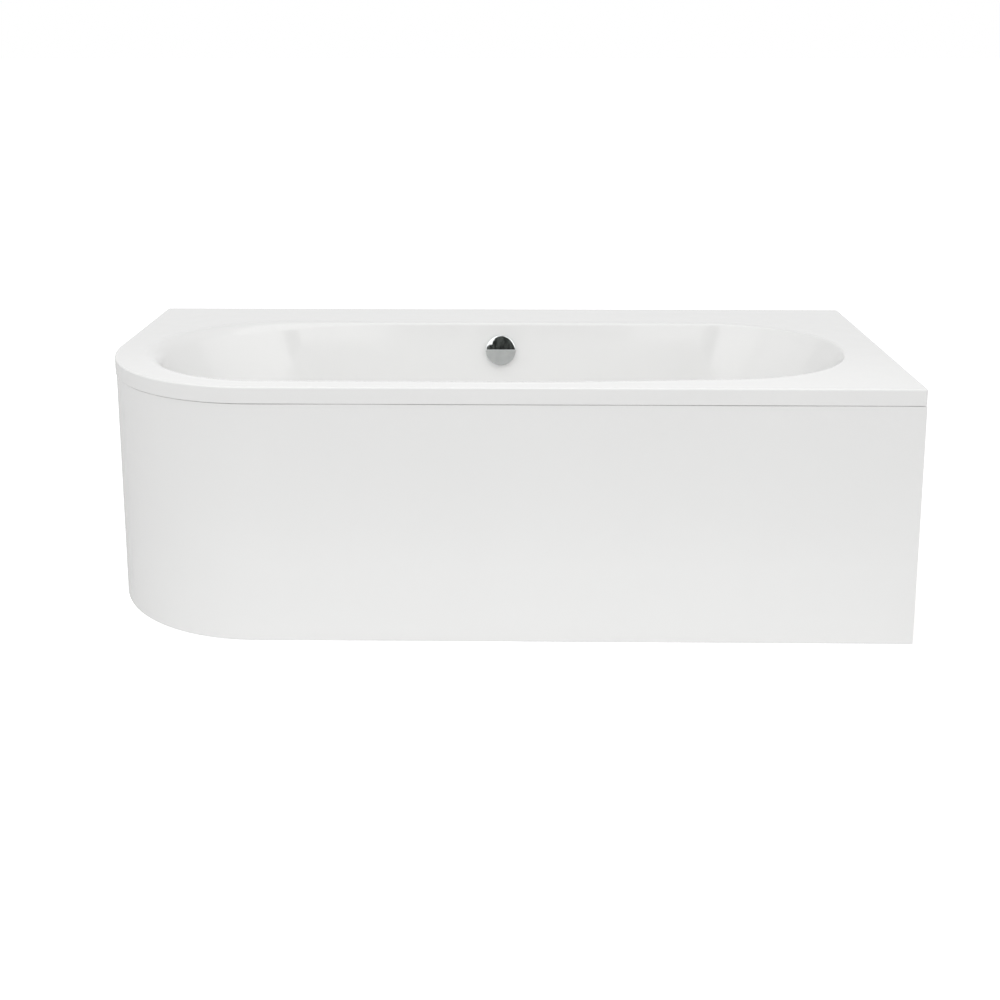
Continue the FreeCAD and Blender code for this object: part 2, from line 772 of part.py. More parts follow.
# ---------------------------------------------------------------- wall brackets
def wall_bracket():
    """A bracket for a wall in the plane y = 0, with the bath on the -Y side."""
    half, sheet = wall_bracket_width / 2, bracket_sheet
    depth, foot = wall_bracket_hook_depth, lip_foot_z
    plate = box(-half, half, -sheet, 0, foot - wall_bracket_height, foot)
    shelf = box(-half, half, -depth - sheet, 0, foot - sheet, foot)
    hook_top = foot - sheet + wall_bracket_hook_height
    hook = box(-half, half, -depth - sheet, -depth, foot - sheet, hook_top)
    made = fuse([plate, shelf, hook])
    for drop in (0, wall_bracket_hole_spacing):
        z = foot - wall_bracket_hole_drop - drop
        made = made.cut(rod(wall_bracket_hole_radius, V(0, -sheet, z), V(0, 0, z)))
    return made


def wall_brackets():
    """Two on the long wall and one on the short wall."""
    left = wall_bracket()
    left.translate(V(-wall_bracket_x, back_y, 0))
    right = wall_bracket()
    right.translate(V(wall_bracket_x, back_y, 0))
    side = wall_bracket()
    side.rotate(V(0, 0, 0), Z_AXIS, -90)
    side.translate(V(right_x, wall_bracket_y, 0))
    return left, right, side


# ---------------------------------------------------------------- apron panel
def apron_panel():
    """The front, the round corner and the left side in one moulding."""
    face = apron_band(panel_inset, panel_back_inset, 0, panel_top_z)
    joggle_z = panel_top_z - panel_thickness
    tongue_back = tongue_inset + panel_thickness
    tongue = apron_band(tongue_inset, tongue_back, joggle_z, panel_top_z + panel_tongue_height)
    inside = rim_plate(tongue_inset, panel_top_z, panel_top_z + panel_tongue_height)
    below = rim_plate(0, 0, panel_top_z)
    tongue = tongue.common(inside.fuse(below))
    foot = apron_band(panel_inset, panel_back_inset + panel_foot_flange, 0, panel_thickness)
    return fuse([face, tongue, foot])


def beside_panel(make):
    """Copies of a piece made for a panel in the plane y = 0, behind each stiffener."""
    made = []
    for x in stiffener_xs:
        piece = make()
        piece.translate(V(x, front_y, 0))
        made.append(piece)
    piece = make()
    piece.rotate(V(0, 0, 0), Z_AXIS, -90)
    piece.translate(V(left_x, stiffener_left_y, 0))
    made.append(piece)
    return group(made)


def stiffener():
    """An upright batten bonded to the panel's back."""
    half, v = stiffener_width / 2, panel_back_inset
    return box(-half, half, v, v + stiffener_thickness, panel_thickness, panel_top_z - stiffener_top_gap)


def magnet():
    """The magnet block on a stiffener's foot."""
    half, v = magnet_length / 2, panel_back_inset + stiffener_thickness
    z = magnet_height / 2
    return box(-half, half, v, v + magnet_standoff, magnet_z - z, magnet_z + z)


def floor_bracket():
    """The steel angle on the floor that the magnet holds on to."""
    half, v = floor_bracket_length / 2, panel_back_inset + stiffener_thickness + magnet_standoff
    upright = box(-half, half, v, v + bracket_sheet, 0, floor_bracket_height)
    foot = box(-half, half, v, v + floor_bracket_reach, 0, bracket_sheet)
    made = fuse([upright, foot])
    for x in (-floor_bracket_hole_spacing / 2, floor_bracket_hole_spacing / 2):
        at = V(x, v + floor_bracket_hole_reach, 0)
        made = made.cut(rod(floor_bracket_hole_radius, at, at + Z_AXIS * bracket_sheet))
    return made


def panel_clip():
    """A sheet clip under a batten that keeps the panel's tongue against the lip."""
    half, v, z = clip_width / 2, tongue_inset + panel_thickness, batten_foot_z
    return fuse([
        box(-half, half, v, v + clip_sheet, z - clip_height, z),
        box(-half, half, v, v + clip_reach, z - clip_sheet, z),
    ])


def panel_clips():
    """Three along the front and one on the left side."""
    made = []
    for x in clip_xs:
        clip = panel_clip()
        clip.translate(V(x, front_y, 0))
        made.append(clip)
    clip = panel_clip()
    clip.rotate(V(0, 0, 0), Z_AXIS, -90)
    clip.translate(V(left_x, clip_left_y, 0))
    made.append(clip)
    return drill(group(made), ["clip"])


# ---------------------------------------------------------------- overflow, in its own frame
gasket_back = -(acrylic_thickness + backing_thickness + gasket_thickness)
body_back = gasket_back - overflow_body_depth - overflow_body_wall
housing_back = body_back - cable_housing_depth
knob_front = knob_wall_gap + knob_depth
hub_front = knob_front - knob_face
spindle_front = knob_hub_back + spindle_entry
sheath_start = -(cable_housing_radius + cable_port_length / 2)


def overflow_knob():
    """The turning cap, with a narrow bar across its face and two falling facets."""
    r, back, front, edge = knob_radius, knob_wall_gap, knob_front, knob_edge_radius
    inner = r - knob_wall
    outline = [(0, knob_hub_back), (knob_hub_radius, knob_hub_back), (knob_hub_radius, hub_front)]
    outline += [(inner, hub_front), (inner, back), (r, back), (r, front), (0, front)]
    cap = profile_turn(outline)
    cap = cap.makeFillet(edge, [e for e in cap.Edges if flat_at(e, front)])
    for side in (-1, 1):
        near, far, drop = side * knob_bar_half_width, side * (r + 1), knob_facet_drop
        points = [V(0, near, front), V(0, far, front - drop), V(0, far, front + 1), V(0, near, front + 1)]
        wedge = Part.Face(Part.makePolygon(points + points[:1])).extrude(V(2 * r + 2, 0, 0))
        wedge.translate(V(-r - 1, 0, 0))
        cap = cap.cut(wedge)
    socket = rod(spindle_radius, V(0, 0, knob_hub_back), V(0, 0, spindle_front))
    return cap.cut(socket)


def overflow_faceplate():
    """The screwed plate in front of the wall, with its water holes."""
    plate = rod(faceplate_radius, V(0, 0, 0), V(0, 0, faceplate_thickness))
    rim = [e for e in plate.Edges if flat_at(e, faceplate_thickness)]
    plate = plate.makeFillet(faceplate_edge_radius, rim)
    middle = V(0, 0, faceplate_thickness / 2)
    plate = plate.fuse(rod(faceplate_boss_radius, V(0, 0, -faceplate_boss_depth), middle))
    low, high = -faceplate_boss_depth - 1, faceplate_thickness + 1
    plate = plate.cut(rod(spindle_radius + spindle_clearance, V(0, 0, low), V(0, 0, high)))
    for x in (-cap_screw_offset, cap_screw_offset):
        plate = plate.cut(rod(cap_screw_radius, V(x, 0, low), V(x, 0, high)))
    for i in range(faceplate_hole_count):
        angle = math.pi * (2 * i + 1) / faceplate_hole_count
        at = V(faceplate_hole_circle * math.cos(angle), faceplate_hole_circle * math.sin(angle), 0)
        plate = plate.cut(rod(faceplate_hole_radius, at + Z_AXIS * low, at + Z_AXIS * high))
    return plate.removeSplitter()


def cap_screws():
    """The two screws that clamp faceplate, wall, gasket and body."""
    made, seat = [], faceplate_thickness
    for x in (-cap_screw_offset, cap_screw_offset):
        head = rod(cap_screw_head_radius, V(x, 0, seat), V(x, 0, seat + cap_screw_head_height))
        top = seat + cap_screw_head_height
        head = head.makeFillet(cap_screw_head_edge, [e for e in head.Edges if flat_at(e, top)])
        wide, long = cap_screw_slot_half_width, cap_screw_slot_half_length
        slot = box(x - wide, x + wide, -long, long, top - cap_screw_slot_depth, top)
        shank = rod(cap_screw_radius, V(x, 0, seat - cap_screw_length), V(x, 0, seat))
        made.append(fuse([head.cut(slot), shank]))
    return group(made)


def overflow_gasket():
    """The soft ring between the wall's hidden side and the body."""
    return pipe(overflow_gasket_radius, wall_hole_radius, V(0, 0, gasket_back),
                V(0, 0, gasket_back + gasket_thickness))


def overflow_body():
    """The cup behind the wall, its screw posts, its hose port and the cable's housing."""
    r, wall, front = overflow_body_radius, overflow_body_wall, gasket_back
    floor = body_back + wall
    cup = rod(r, V(0, 0, body_back), V(0, 0, front))
    flange = rod(overflow_flange_radius, V(0, 0, front - overflow_flange_thickness), V(0, 0, front))
    housing = rod(cable_housing_radius, V(0, 0, housing_back), V(0, 0, body_back))
    inner = hose_radius - hose_wall
    port_at = V(0, 0, -overflow_port_depth)
    port = rod(inner, port_at, port_at - Y_AXIS * overflow_port_length)
    middle = (body_back + housing_back) / 2
    cable_end = -(cable_housing_radius + cable_port_length)
    cable_port = rod(cable_port_radius, V(-wire_offset, 0, middle), V(-wire_offset, cable_end, middle))
    made = fuse([cup, flange, housing, port, cable_port])
    made = made.cut(rod(r - wall, V(0, 0, floor), V(0, 0, front)))
    room_end = housing_back + cable_housing_wall
    made = made.cut(rod(cable_housing_radius - cable_housing_wall, V(0, 0, room_end), V(0, 0, body_back)))
    bore = inner - hose_port_wall
    made = made.cut(rod(bore, port_at, port_at - Y_AXIS * overflow_port_length))
    channel = wire_radius + wire_channel_clearance
    made = made.cut(rod(channel, V(-wire_offset, 0, middle), V(-wire_offset, cable_end, middle)))
    made = made.cut(rod(sheath_radius, V(-wire_offset, sheath_start, middle),
                        V(-wire_offset, cable_end, middle)))
    post_xs = (-cap_screw_offset, cap_screw_offset)
    post_top = front - cap_screw_post_gap
    posts = [rod(cap_screw_post_radius, V(x, 0, body_back), V(x, 0, post_top)) for x in post_xs]
    made = made.multiFuse(posts)
    screw_end = faceplate_thickness - cap_screw_length
    for x in (-cap_screw_offset, cap_screw_offset):
        made = made.cut(rod(cap_screw_radius, V(x, 0, screw_end), V(x, 0, front)))
    spindle_hole = rod(spindle_radius + spindle_clearance, V(0, 0, body_back - 1), V(0, 0, front))
    return made.cut(spindle_hole).removeSplitter()


def overflow_spindle():
    """The shaft from the knob to the cable's drum, in one piece with the drum."""
    middle = (body_back + housing_back) / 2
    half = drum_width / 2
    drum_end = middle - half - drum_flange_thickness
    shaft = rod(spindle_radius, V(0, 0, drum_end), V(0, 0, spindle_front))
    drum = rod(drum_radius, V(0, 0, drum_end), V(0, 0, middle + half))
    near = rod(drum_flange_radius, V(0, 0, middle + half), V(0, 0, middle + half + drum_flange_thickness))
    far = rod(drum_flange_radius, V(0, 0, drum_end), V(0, 0, drum_end + drum_flange_thickness))
    made = fuse([shaft, drum, near, far])
    ring = Part.makeTorus(drum_radius + wire_radius - wrap_sink, wire_radius, V(0, 0, middle), Z_AXIS)
    reach = drum_radius + 2 * wire_radius
    wrap = ring.common(box(wrap_start_x, reach, 0, reach, middle - half, middle + half))
    return fuse([made, wrap])


# ---------------------------------------------------------------- hose and cable
def route(points, bend):
    """A wire through the points, with each inner corner rounded to the same radius."""
    edges, last = [], points[0]
    for before, at, after in zip(points, points[1:], points[2:]):
        back, ahead = (before - at).normalize(), (after - at).normalize()
        half = back.getAngle(ahead) / 2
        reach = bend / math.tan(half)
        centre = at + (back + ahead).normalize() * (bend / math.sin(half))
        middle = centre + (at - centre).normalize() * bend
        first, second = at + back * reach, at + ahead * reach
        edges.append(Part.makeLine(last, first))
        edges.append(Part.Arc(first, middle, second).toShape())
        last = second
    edges.append(Part.makeLine(last, points[-1]))
    return Part.Wire(edges)


def swept(path, radius):
    """A round solid along a path."""
    start = path.Edges[0]
    at, along = start.valueAt(start.FirstParameter), start.tangentAt(start.FirstParameter)
    ring = Part.Wire(Part.makeCircle(radius, at, along))
    return path.makePipeShell([ring], True, True)


def wall_line_at(x, out, z):
    """The point at height z on a line that runs down the wall."""
    down = (wall_point(x, 0, out).z - z) / math.cos(side_slope)
    return wall_point(x, -down, out)


def overflow_hose():
    """The hose from the overflow's port to the drain's port."""
    out = -overflow_port_depth
    start = wall_point(0, -overflow_port_length + hose_overlap, out)
    end = V(0, drain_hose_port_end_y - hose_overlap, drain_hose_port_z)
    path = route([start, wall_line_at(0, out, end.z), end], hose_bend_radius)
    return swept(path, hose_radius).cut(swept(path, hose_radius - hose_wall))


def hose_nut(start, along):
    """A ribbed clamping nut round a hose's end; along points down the hose."""
    end = start + along * hose_nut_length
    made = rod(hose_nut_radius, start, end)
    return made.cut(rod(hose_radius + nut_clearance, start, end))


def sheath_path():
    """The cable's path, from the drum's housing to the drain's cable entry."""
    out = (body_back + housing_back) / 2
    z = cable_entry_z
    low = wall_line_at(-wire_offset, out, z)
    return [
        wall_point(-wire_offset, sheath_start, out), low, V(cable_turn_x, low.y, z),
        V(cable_turn_x, drain_y, z), V(cable_entry_end_x + cable_seat_depth, drain_y, z),
    ]


def cable_sheath():
    """The cable's outer casing."""
    path = route(sheath_path(), cable_bend_radius)
    return swept(path, sheath_radius).cut(swept(path, wire_radius + wire_channel_clearance))


def cable_wire():
    """The wire that runs in the casing, up to the drum."""
    points = sheath_path()
    points[0] = wall_point(-wire_offset, 0, (body_back + housing_back) / 2)
    return swept(route(points, cable_bend_radius), wire_radius)


def cable_clips():
    """Moulded figure-of-eight clips that hold the cable to the hose."""
    near, far = -overflow_port_depth, (body_back + housing_back) / 2
    centre, cable = V(0, 0, near), V(-wire_offset, 0, far)
    along = (cable - centre).normalize()
    made = []
    for drop in cable_clip_drops:
        low, high = V(0, -drop - clip_ring_length, 0), V(0, -drop, 0)
        big = rod(hose_radius + clip_ring_wall, centre + low, centre + high)
        small = rod(sheath_radius + clip_ring_wall, cable + low, cable + high)
        side = V(along.z, 0, -along.x) * clip_web_half_width
        corners = [centre + side, cable + side, cable - side, centre - side, centre + side]
        web = Part.Face(Part.makePolygon([c + low for c in corners])).extrude(high - low)
        piece = big.multiFuse([small, web])
        piece = piece.cut(rod(hose_radius, centre + low, centre + high))
        piece = piece.cut(rod(sheath_radius, cable + low, cable + high)).removeSplitter()
        made.append(on_wall(piece))
    return group(made)


# ---------------------------------------------------------------- drain and lifting plug
flange_top_z = floor_z + drain_flange_thickness
gasket_top_z = board_top_z
drain_gasket_foot_z = board_top_z - gasket_thickness
drain_body_top_z = drain_gasket_foot_z
drain_body_cup_z = drain_body_top_z - drain_body_flange_thickness
tube_foot_z = floor_z - drain_tube_depth
plug_under_z = flange_top_z + plug_lift_gap
seal_foot_z = plug_under_z - seal_thickness
seal_radius = drain_cone_radius - (flange_top_z - seal_foot_z) - seal_gap
swing = math.radians(lever_swing)
lever_tip_low_z = lever_pivot_z - lever_arm * math.sin(swing)
stem_foot_z = lever_tip_low_z + lever_tip_radius + stem_foot_gap
crank_pin_x = lever_pivot_x + lever_crank * math.sin(swing)
ear_inner = lever_thickness / 2 + ear_gap
ear_outer = ear_inner + ear_thickness


def about_drain(shape):
    """Moves a shape made about the Z axis to the drain."""
    moved = shape.copy()
    moved.translate(V(0, drain_y, 0))
    return moved


def drain_flange():
    """The chromed flange in the basin's floor, with its tube, spokes and stem guide."""
    r, top, bore = drain_flange_radius, flange_top_z, drain_tube_bore
    cone_foot = top - (drain_cone_radius - bore)
    outline = [(bore, tube_foot_z), (drain_tube_radius, tube_foot_z), (drain_tube_radius, floor_z)]
    outline += [(r, floor_z), (r, floor_z + drain_rim_height), (r - drain_rim_slope, top)]
    outline += [(drain_cone_radius, top), (bore, cone_foot)]
    ring = profile_turn(outline)
    half, height = drain_spoke_width / 2, drain_spoke_height
    spoke = box(0, (bore + drain_tube_radius) / 2, -half, half, tube_foot_z, tube_foot_z + height)
    parts = [ring, rod(drain_boss_radius, V(0, 0, tube_foot_z), V(0, 0, tube_foot_z + drain_boss_height))]
    for angle in (45, 135, 225, 315):
        turned = spoke.copy()
        turned.rotate(V(0, 0, 0), Z_AXIS, angle)
        parts.append(turned)
    made = fuse(parts)
    low, high = V(0, 0, tube_foot_z - 1), V(0, 0, tube_foot_z + drain_boss_height + 1)
    return about_drain(made.cut(rod(stem_radius + stem_clearance, low, high)))


def drain_gasket():
    """The soft ring under the basin's floor."""
    low, high = V(0, drain_y, drain_gasket_foot_z), V(0, drain_y, gasket_top_z)
    return pipe(drain_gasket_radius, wall_hole_radius, low, high)


def drain_body():
    """The cup under the drain, with its outlet, hose port and cable entry."""
    r, wall, low = drain_body_radius, drain_body_wall, drain_body_floor_z
    cup = rod(r, V(0, 0, low), V(0, 0, drain_body_top_z))
    flange = rod(drain_body_flange_radius, V(0, 0, drain_body_cup_z), V(0, 0, drain_body_top_z))
    outlet_end = trap_x - trap_radius
    outlet = rod(drain_outlet_radius, V(0, 0, drain_outlet_z), V(outlet_end, 0, drain_outlet_z))
    port_end = drain_hose_port_end_y - drain_y
    port_radius = hose_radius - hose_wall
    port = rod(port_radius, V(0, 0, drain_hose_port_z), V(0, port_end, drain_hose_port_z))
    entry = rod(cable_port_radius, V(0, 0, cable_entry_z), V(cable_entry_end_x, 0, cable_entry_z))
    made = fuse([cup, flange, outlet, port, entry])
    collar_foot = drain_body_top_z - drain_collar_height
    made = made.cut(rod(r - wall, V(0, 0, low + wall), V(0, 0, collar_foot)))
    made = made.cut(rod(drain_tube_radius, V(0, 0, low + wall), V(0, 0, drain_body_top_z)))
    outlet_bore = drain_outlet_radius - drain_outlet_wall
    made = made.cut(rod(outlet_bore, V(0, 0, drain_outlet_z), V(outlet_end, 0, drain_outlet_z)))
    port_bore = port_radius - hose_port_wall
    made = made.cut(rod(port_bore, V(0, 0, drain_hose_port_z), V(0, port_end, drain_hose_port_z)))
    seat_x = cable_entry_end_x + cable_seat_depth
    rod_bore = cable_end_rod_radius + cable_end_rod_clearance
    made = made.cut(rod(rod_bore, V(0, 0, cable_entry_z), V(seat_x, 0, cable_entry_z)))
    made = made.cut(rod(sheath_radius, V(seat_x, 0, cable_entry_z), V(cable_entry_end_x, 0, cable_entry_z)))
    ears = []
    for side in (-1, 1):
        y0, y1 = sorted((side * ear_inner, side * ear_outer))
        x0, x1 = lever_pivot_x - ear_half_width, lever_pivot_x + ear_half_width
        ears.append(box(x0, x1, y0, y1, low + wall / 2, lever_pivot_z + ear_rise))
    made = made.multiFuse(ears)
    pin_hole = rod(lever_pin_radius, V(lever_pivot_x, -ear_outer, lever_pivot_z),
                   V(lever_pivot_x, ear_outer, lever_pivot_z))
    return about_drain(made.cut(pin_hole).removeSplitter())


def lever_pin():
    """The pin that the lever rocks on."""
    at = V(lever_pivot_x, drain_y, lever_pivot_z)
    return rod(lever_pin_radius, at - Y_AXIS * ear_outer, at + Y_AXIS * ear_outer)


def lever_bar(start, end, radius):
    """A flat bar with round ends, in the plane y = 0."""
    half = V(0, lever_thickness / 2, 0)
    along = (end - start).normalize()
    side = V(along.z, 0, -along.x) * radius
    corners = [start + side, end + side, end - side, start - side, start + side]
    web = Part.Face(Part.makePolygon([c - half for c in corners])).extrude(half * 2)
    return web.multiFuse([rod(radius, start - half, start + half), rod(radius, end - half, end + half)])


def lift_lever():
    """The bell crank under the plug, in its low position, with its crank pin."""
    pivot = V(lever_pivot_x, 0, lever_pivot_z)
    tip, crank = pivot + X_AXIS * lever_arm, pivot + Z_AXIS * lever_crank
    half = lever_thickness / 2
    hub = rod(lever_hub_radius, pivot - Y_AXIS * half, pivot + Y_AXIS * half)
    reach = half + crank_pin_overhang
    pin = rod(crank_pin_radius, crank - Y_AXIS * reach, crank + Y_AXIS * reach)
    arm = lever_bar(pivot, tip, lever_arm_half_width)
    nose = rod(lever_tip_radius, tip - Y_AXIS * half, tip + Y_AXIS * half)
    tail = lever_bar(pivot, pivot - X_AXIS * lever_tail, lever_tail_half_width)
    made = fuse([hub, arm, nose, tail, lever_bar(pivot, crank, lever_crank_half_width), pin])
    made = made.cut(rod(lever_pin_radius + lever_pin_clearance, pivot - Y_AXIS * half, pivot + Y_AXIS * half))
    made.rotate(pivot, Y_AXIS, lever_swing)
    return about_drain(made)


def cable_end():
    """The sliding fork that pulls the crank pin, with its guide rod."""
    x, z, head = crank_pin_x, cable_entry_z, cable_end_head
    inner, outer, tall = ear_inner, lever_thickness / 2 + cable_end_cheek, cable_end_half_height
    front = x + cable_end_nose
    fork = box(x - head, front, -outer, outer, z - tall, z + tall)
    fork = fork.cut(box(x - head + cable_end_web, front, -inner, inner, z - tall, z + tall))
    slot = crank_pin_radius + crank_pin_clearance
    high = crank_pin_radius + lever_crank * (1 - math.cos(swing)) / 2 + cable_end_slot_clearance
    fork = fork.cut(box(x - slot, x + slot, -outer, outer, z - high, z + high))
    start, end = V(x - head + cable_end_web / 2, 0, z), V(x - head - cable_end_rod_length, 0, z)
    guide = rod(cable_end_rod_radius, start, end)
    return about_drain(fuse([fork, guide]))


def plug_cap():
    """The plug's chromed lid."""
    low, high = V(0, drain_y, plug_under_z), V(0, drain_y, plug_under_z + plug_thickness)
    lid = rod(plug_radius, low, high)
    lid = lid.makeFillet(plug_edge_radius, [e for e in lid.Edges if flat_at(e, high.z)])
    return lid.cut(rod(stem_radius, low, low + Z_AXIS * plug_stem_entry))


def plug_seal():
    """The soft ring under the lid."""
    low, high = V(0, drain_y, seal_foot_z), V(0, drain_y, plug_under_z)
    return pipe(seal_radius, stem_radius, low, high)


def plug_stem():
    """The stem that the lever lifts, with the collar under the seal."""
    at = V(0, drain_y, 0)
    shaft = rod(stem_radius, at + Z_AXIS * stem_foot_z, at + Z_AXIS * (plug_under_z + plug_stem_entry))
    collar_foot = seal_foot_z - stem_collar_height
    collar = rod(stem_collar_radius, at + Z_AXIS * collar_foot, at + Z_AXIS * seal_foot_z)
    return fuse([shaft, collar])


# ---------------------------------------------------------------- trap and outlet
def trap_cup():
    """The cup of the trap, with the socket of its inlet and its outlet stub."""
    at, r, wall = V(trap_x, drain_y, 0), trap_radius, trap_wall
    cup = rod(r, at + Z_AXIS * trap_floor_z, at + Z_AXIS * trap_top_z)
    cup = cup.makeFillet(trap_foot_radius, [e for e in cup.Edges if flat_at(e, trap_floor_z)])
    inlet = V(trap_x, drain_y, drain_outlet_z)
    face = trap_x - r
    start = V(face - trap_socket_length, drain_y, drain_outlet_z)
    socket = rod(drain_outlet_radius + trap_socket_wall, start, inlet)
    outlet_at = V(trap_x, drain_y, outlet_z)
    outlet_end = V(trap_x, outlet_joint_y, outlet_z)
    stub = rod(outlet_pipe_radius, outlet_at, outlet_end)
    made = fuse([cup, socket, stub])
    room = rod(r - wall, at + Z_AXIS * (trap_floor_z + wall), at + Z_AXIS * trap_top_z)
    room = room.makeFillet(trap_inner_foot_radius, [e for e in room.Edges if flat_at(e, trap_floor_z + wall)])
    made = made.cut(room)
    made = made.cut(rod(drain_outlet_radius, start, V(face, drain_y, drain_outlet_z)))
    made = made.cut(rod(dip_pipe_radius - dip_pipe_wall, start, inlet))
    return made.cut(rod(outlet_pipe_radius - outlet_pipe_wall, outlet_at, outlet_end)).removeSplitter()


def trap_lid():
    """The trap's screw lid."""
    at, r = V(trap_x, drain_y, 0), trap_radius + trap_lid_wall
    skirt_z, lid_z = trap_top_z - trap_lid_skirt, trap_top_z + trap_lid_thickness
    lid = rod(r, at + Z_AXIS * skirt_z, at + Z_AXIS * lid_z)
    lid = lid.makeFillet(trap_lid_edge_radius, [e for e in lid.Edges if flat_at(e, lid_z)])
    return lid.cut(rod(trap_radius, at + Z_AXIS * skirt_z, at + Z_AXIS * trap_top_z))


def trap_dip_pipe():
    """The pipe that takes the water down into the trap's seal."""
    r, bore = dip_pipe_radius, dip_pipe_radius - dip_pipe_wall
    at = V(dip_pipe_x, drain_y, 0)
    start = V(trap_x - trap_radius, drain_y, drain_outlet_z)
    top = drain_outlet_z + r + dip_pipe_cap
    upright = rod(r, at + Z_AXIS * dip_pipe_foot_z, at + Z_AXIS * top)
    level = rod(r, start, at + Z_AXIS * drain_outlet_z)
    made = fuse([upright, level])
    made = made.cut(rod(bore, at + Z_AXIS * dip_pipe_foot_z, at + Z_AXIS * (top - dip_pipe_cap)))
    made = made.cut(rod(bore, start, at + Z_AXIS * drain_outlet_z))
    room = V(trap_x, drain_y, trap_floor_z)
    return made.common(rod(trap_radius - trap_wall, room, V(trap_x, drain_y, trap_top_z)))


def outlet_pipe():
    """The spigot that the house's waste pipe takes."""
    start, end = V(trap_x, outlet_joint_y, outlet_z), V(trap_x, outlet_end_y, outlet_z)
    shoulder = start + Y_AXIS * (outlet_nut_length / 2 + spigot_neck_spare)
    outer = rod(spigot_radius, shoulder, end)
    mouth = [e for e in outer.Edges if e.BoundBox.YMin > outlet_end_y - 0.01]
    outer = outer.makeChamfer(spigot_chamfer, mouth)
    outer = outer.fuse(rod(spigot_neck_radius, start, shoulder))
    return outer.cut(rod(spigot_radius - outlet_pipe_wall, start, end))


def outlet_nut():
    """The union nut over the joint between trap and outlet pipe."""
    half = outlet_nut_length / 2
    joint = V(trap_x, outlet_joint_y, outlet_z)
    made = rod(outlet_nut_radius, joint - Y_AXIS * half, joint + Y_AXIS * half)
    made = made.cut(rod(outlet_pipe_radius, joint - Y_AXIS * half, joint))
    return made.cut(rod(spigot_neck_radius, joint, joint + Y_AXIS * half))


# ---------------------------------------------------------------- the whole bath
shell = acrylic_shell()
save("acrylic_shell", shell)
save("fibreglass_backing", fibreglass_backing(shell))
save("base_board", drill(base_board(), ["board", "centre"]))
for name, batten in zip(("front", "back", "left", "right"), rim_battens()):
    save("rim_batten_" + name, drill(batten, ["batten", "clip"]))
save("cradle_left", cradle(-cradle_x))
save("cradle_right", cradle(cradle_x))
save("centre_foot_bracket", centre_bracket())
save("wood_screws", group([wood_screw(seat) for kind in sorted(SEATS) for seat in SEATS[kind]]))
save("weld_nuts", weld_nuts())
save("lock_nuts", lock_nuts())
for name, x, y, web, top in FEET:
    save("foot_stud_" + name, foot_stud(x, y, top))
    save("foot_pad_" + name, foot_pad(x, y))
for name, bracket in zip(("back_left", "back_right", "side"), wall_brackets()):
    save("wall_bracket_" + name, bracket)
save("apron_panel", apron_panel())
save("panel_stiffeners", beside_panel(stiffener))
save("panel_magnets", beside_panel(magnet))
save("floor_brackets", beside_panel(floor_bracket))
save("panel_clips", panel_clips())
save("overflow_knob", on_wall(overflow_knob()))
save("overflow_spindle", on_wall(overflow_spindle()))
save("overflow_faceplate", on_wall(overflow_faceplate()))
save("overflow_screws", on_wall(cap_screws()))
save("overflow_gasket", on_wall(overflow_gasket()))
save("overflow_body", on_wall(overflow_body()))
save("overflow_hose", overflow_hose())
wall_down = (wall_point(0, -1, 0) - wall_point(0, 0, 0)).normalize()
nut_drop = overflow_port_length - hose_nut_overlap
save("hose_nut_upper", hose_nut(wall_point(0, -nut_drop, -overflow_port_depth), wall_down))
save("hose_nut_lower", hose_nut(V(0, drain_hose_port_end_y - hose_nut_overlap, drain_hose_port_z), Y_AXIS))
save("cable_sheath", cable_sheath())
save("cable_wire", cable_wire())
save("cable_clips", cable_clips())
save("cable_end", cable_end())
save("drain_flange", drain_flange())
save("drain_gasket", drain_gasket())
save("drain_body", drain_body())
save("lever_pin", lever_pin())
save("lift_lever", lift_lever())
save("plug_cap", plug_cap())
save("plug_seal", plug_seal())
save("plug_stem", plug_stem())
save("trap_cup", trap_cup())
save("trap_lid", trap_lid())
save("trap_dip_pipe", trap_dip_pipe())
save("outlet_nut", outlet_nut())
save("outlet_pipe", outlet_pipe())
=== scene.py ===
"""Looks of the corner bathtub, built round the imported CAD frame. Metres, in the frame's axes."""
import json
import math

import bmesh
import bpy
from mathutils import Matrix, Vector, noise
from mathutils.geometry import delaunay_2d_cdt

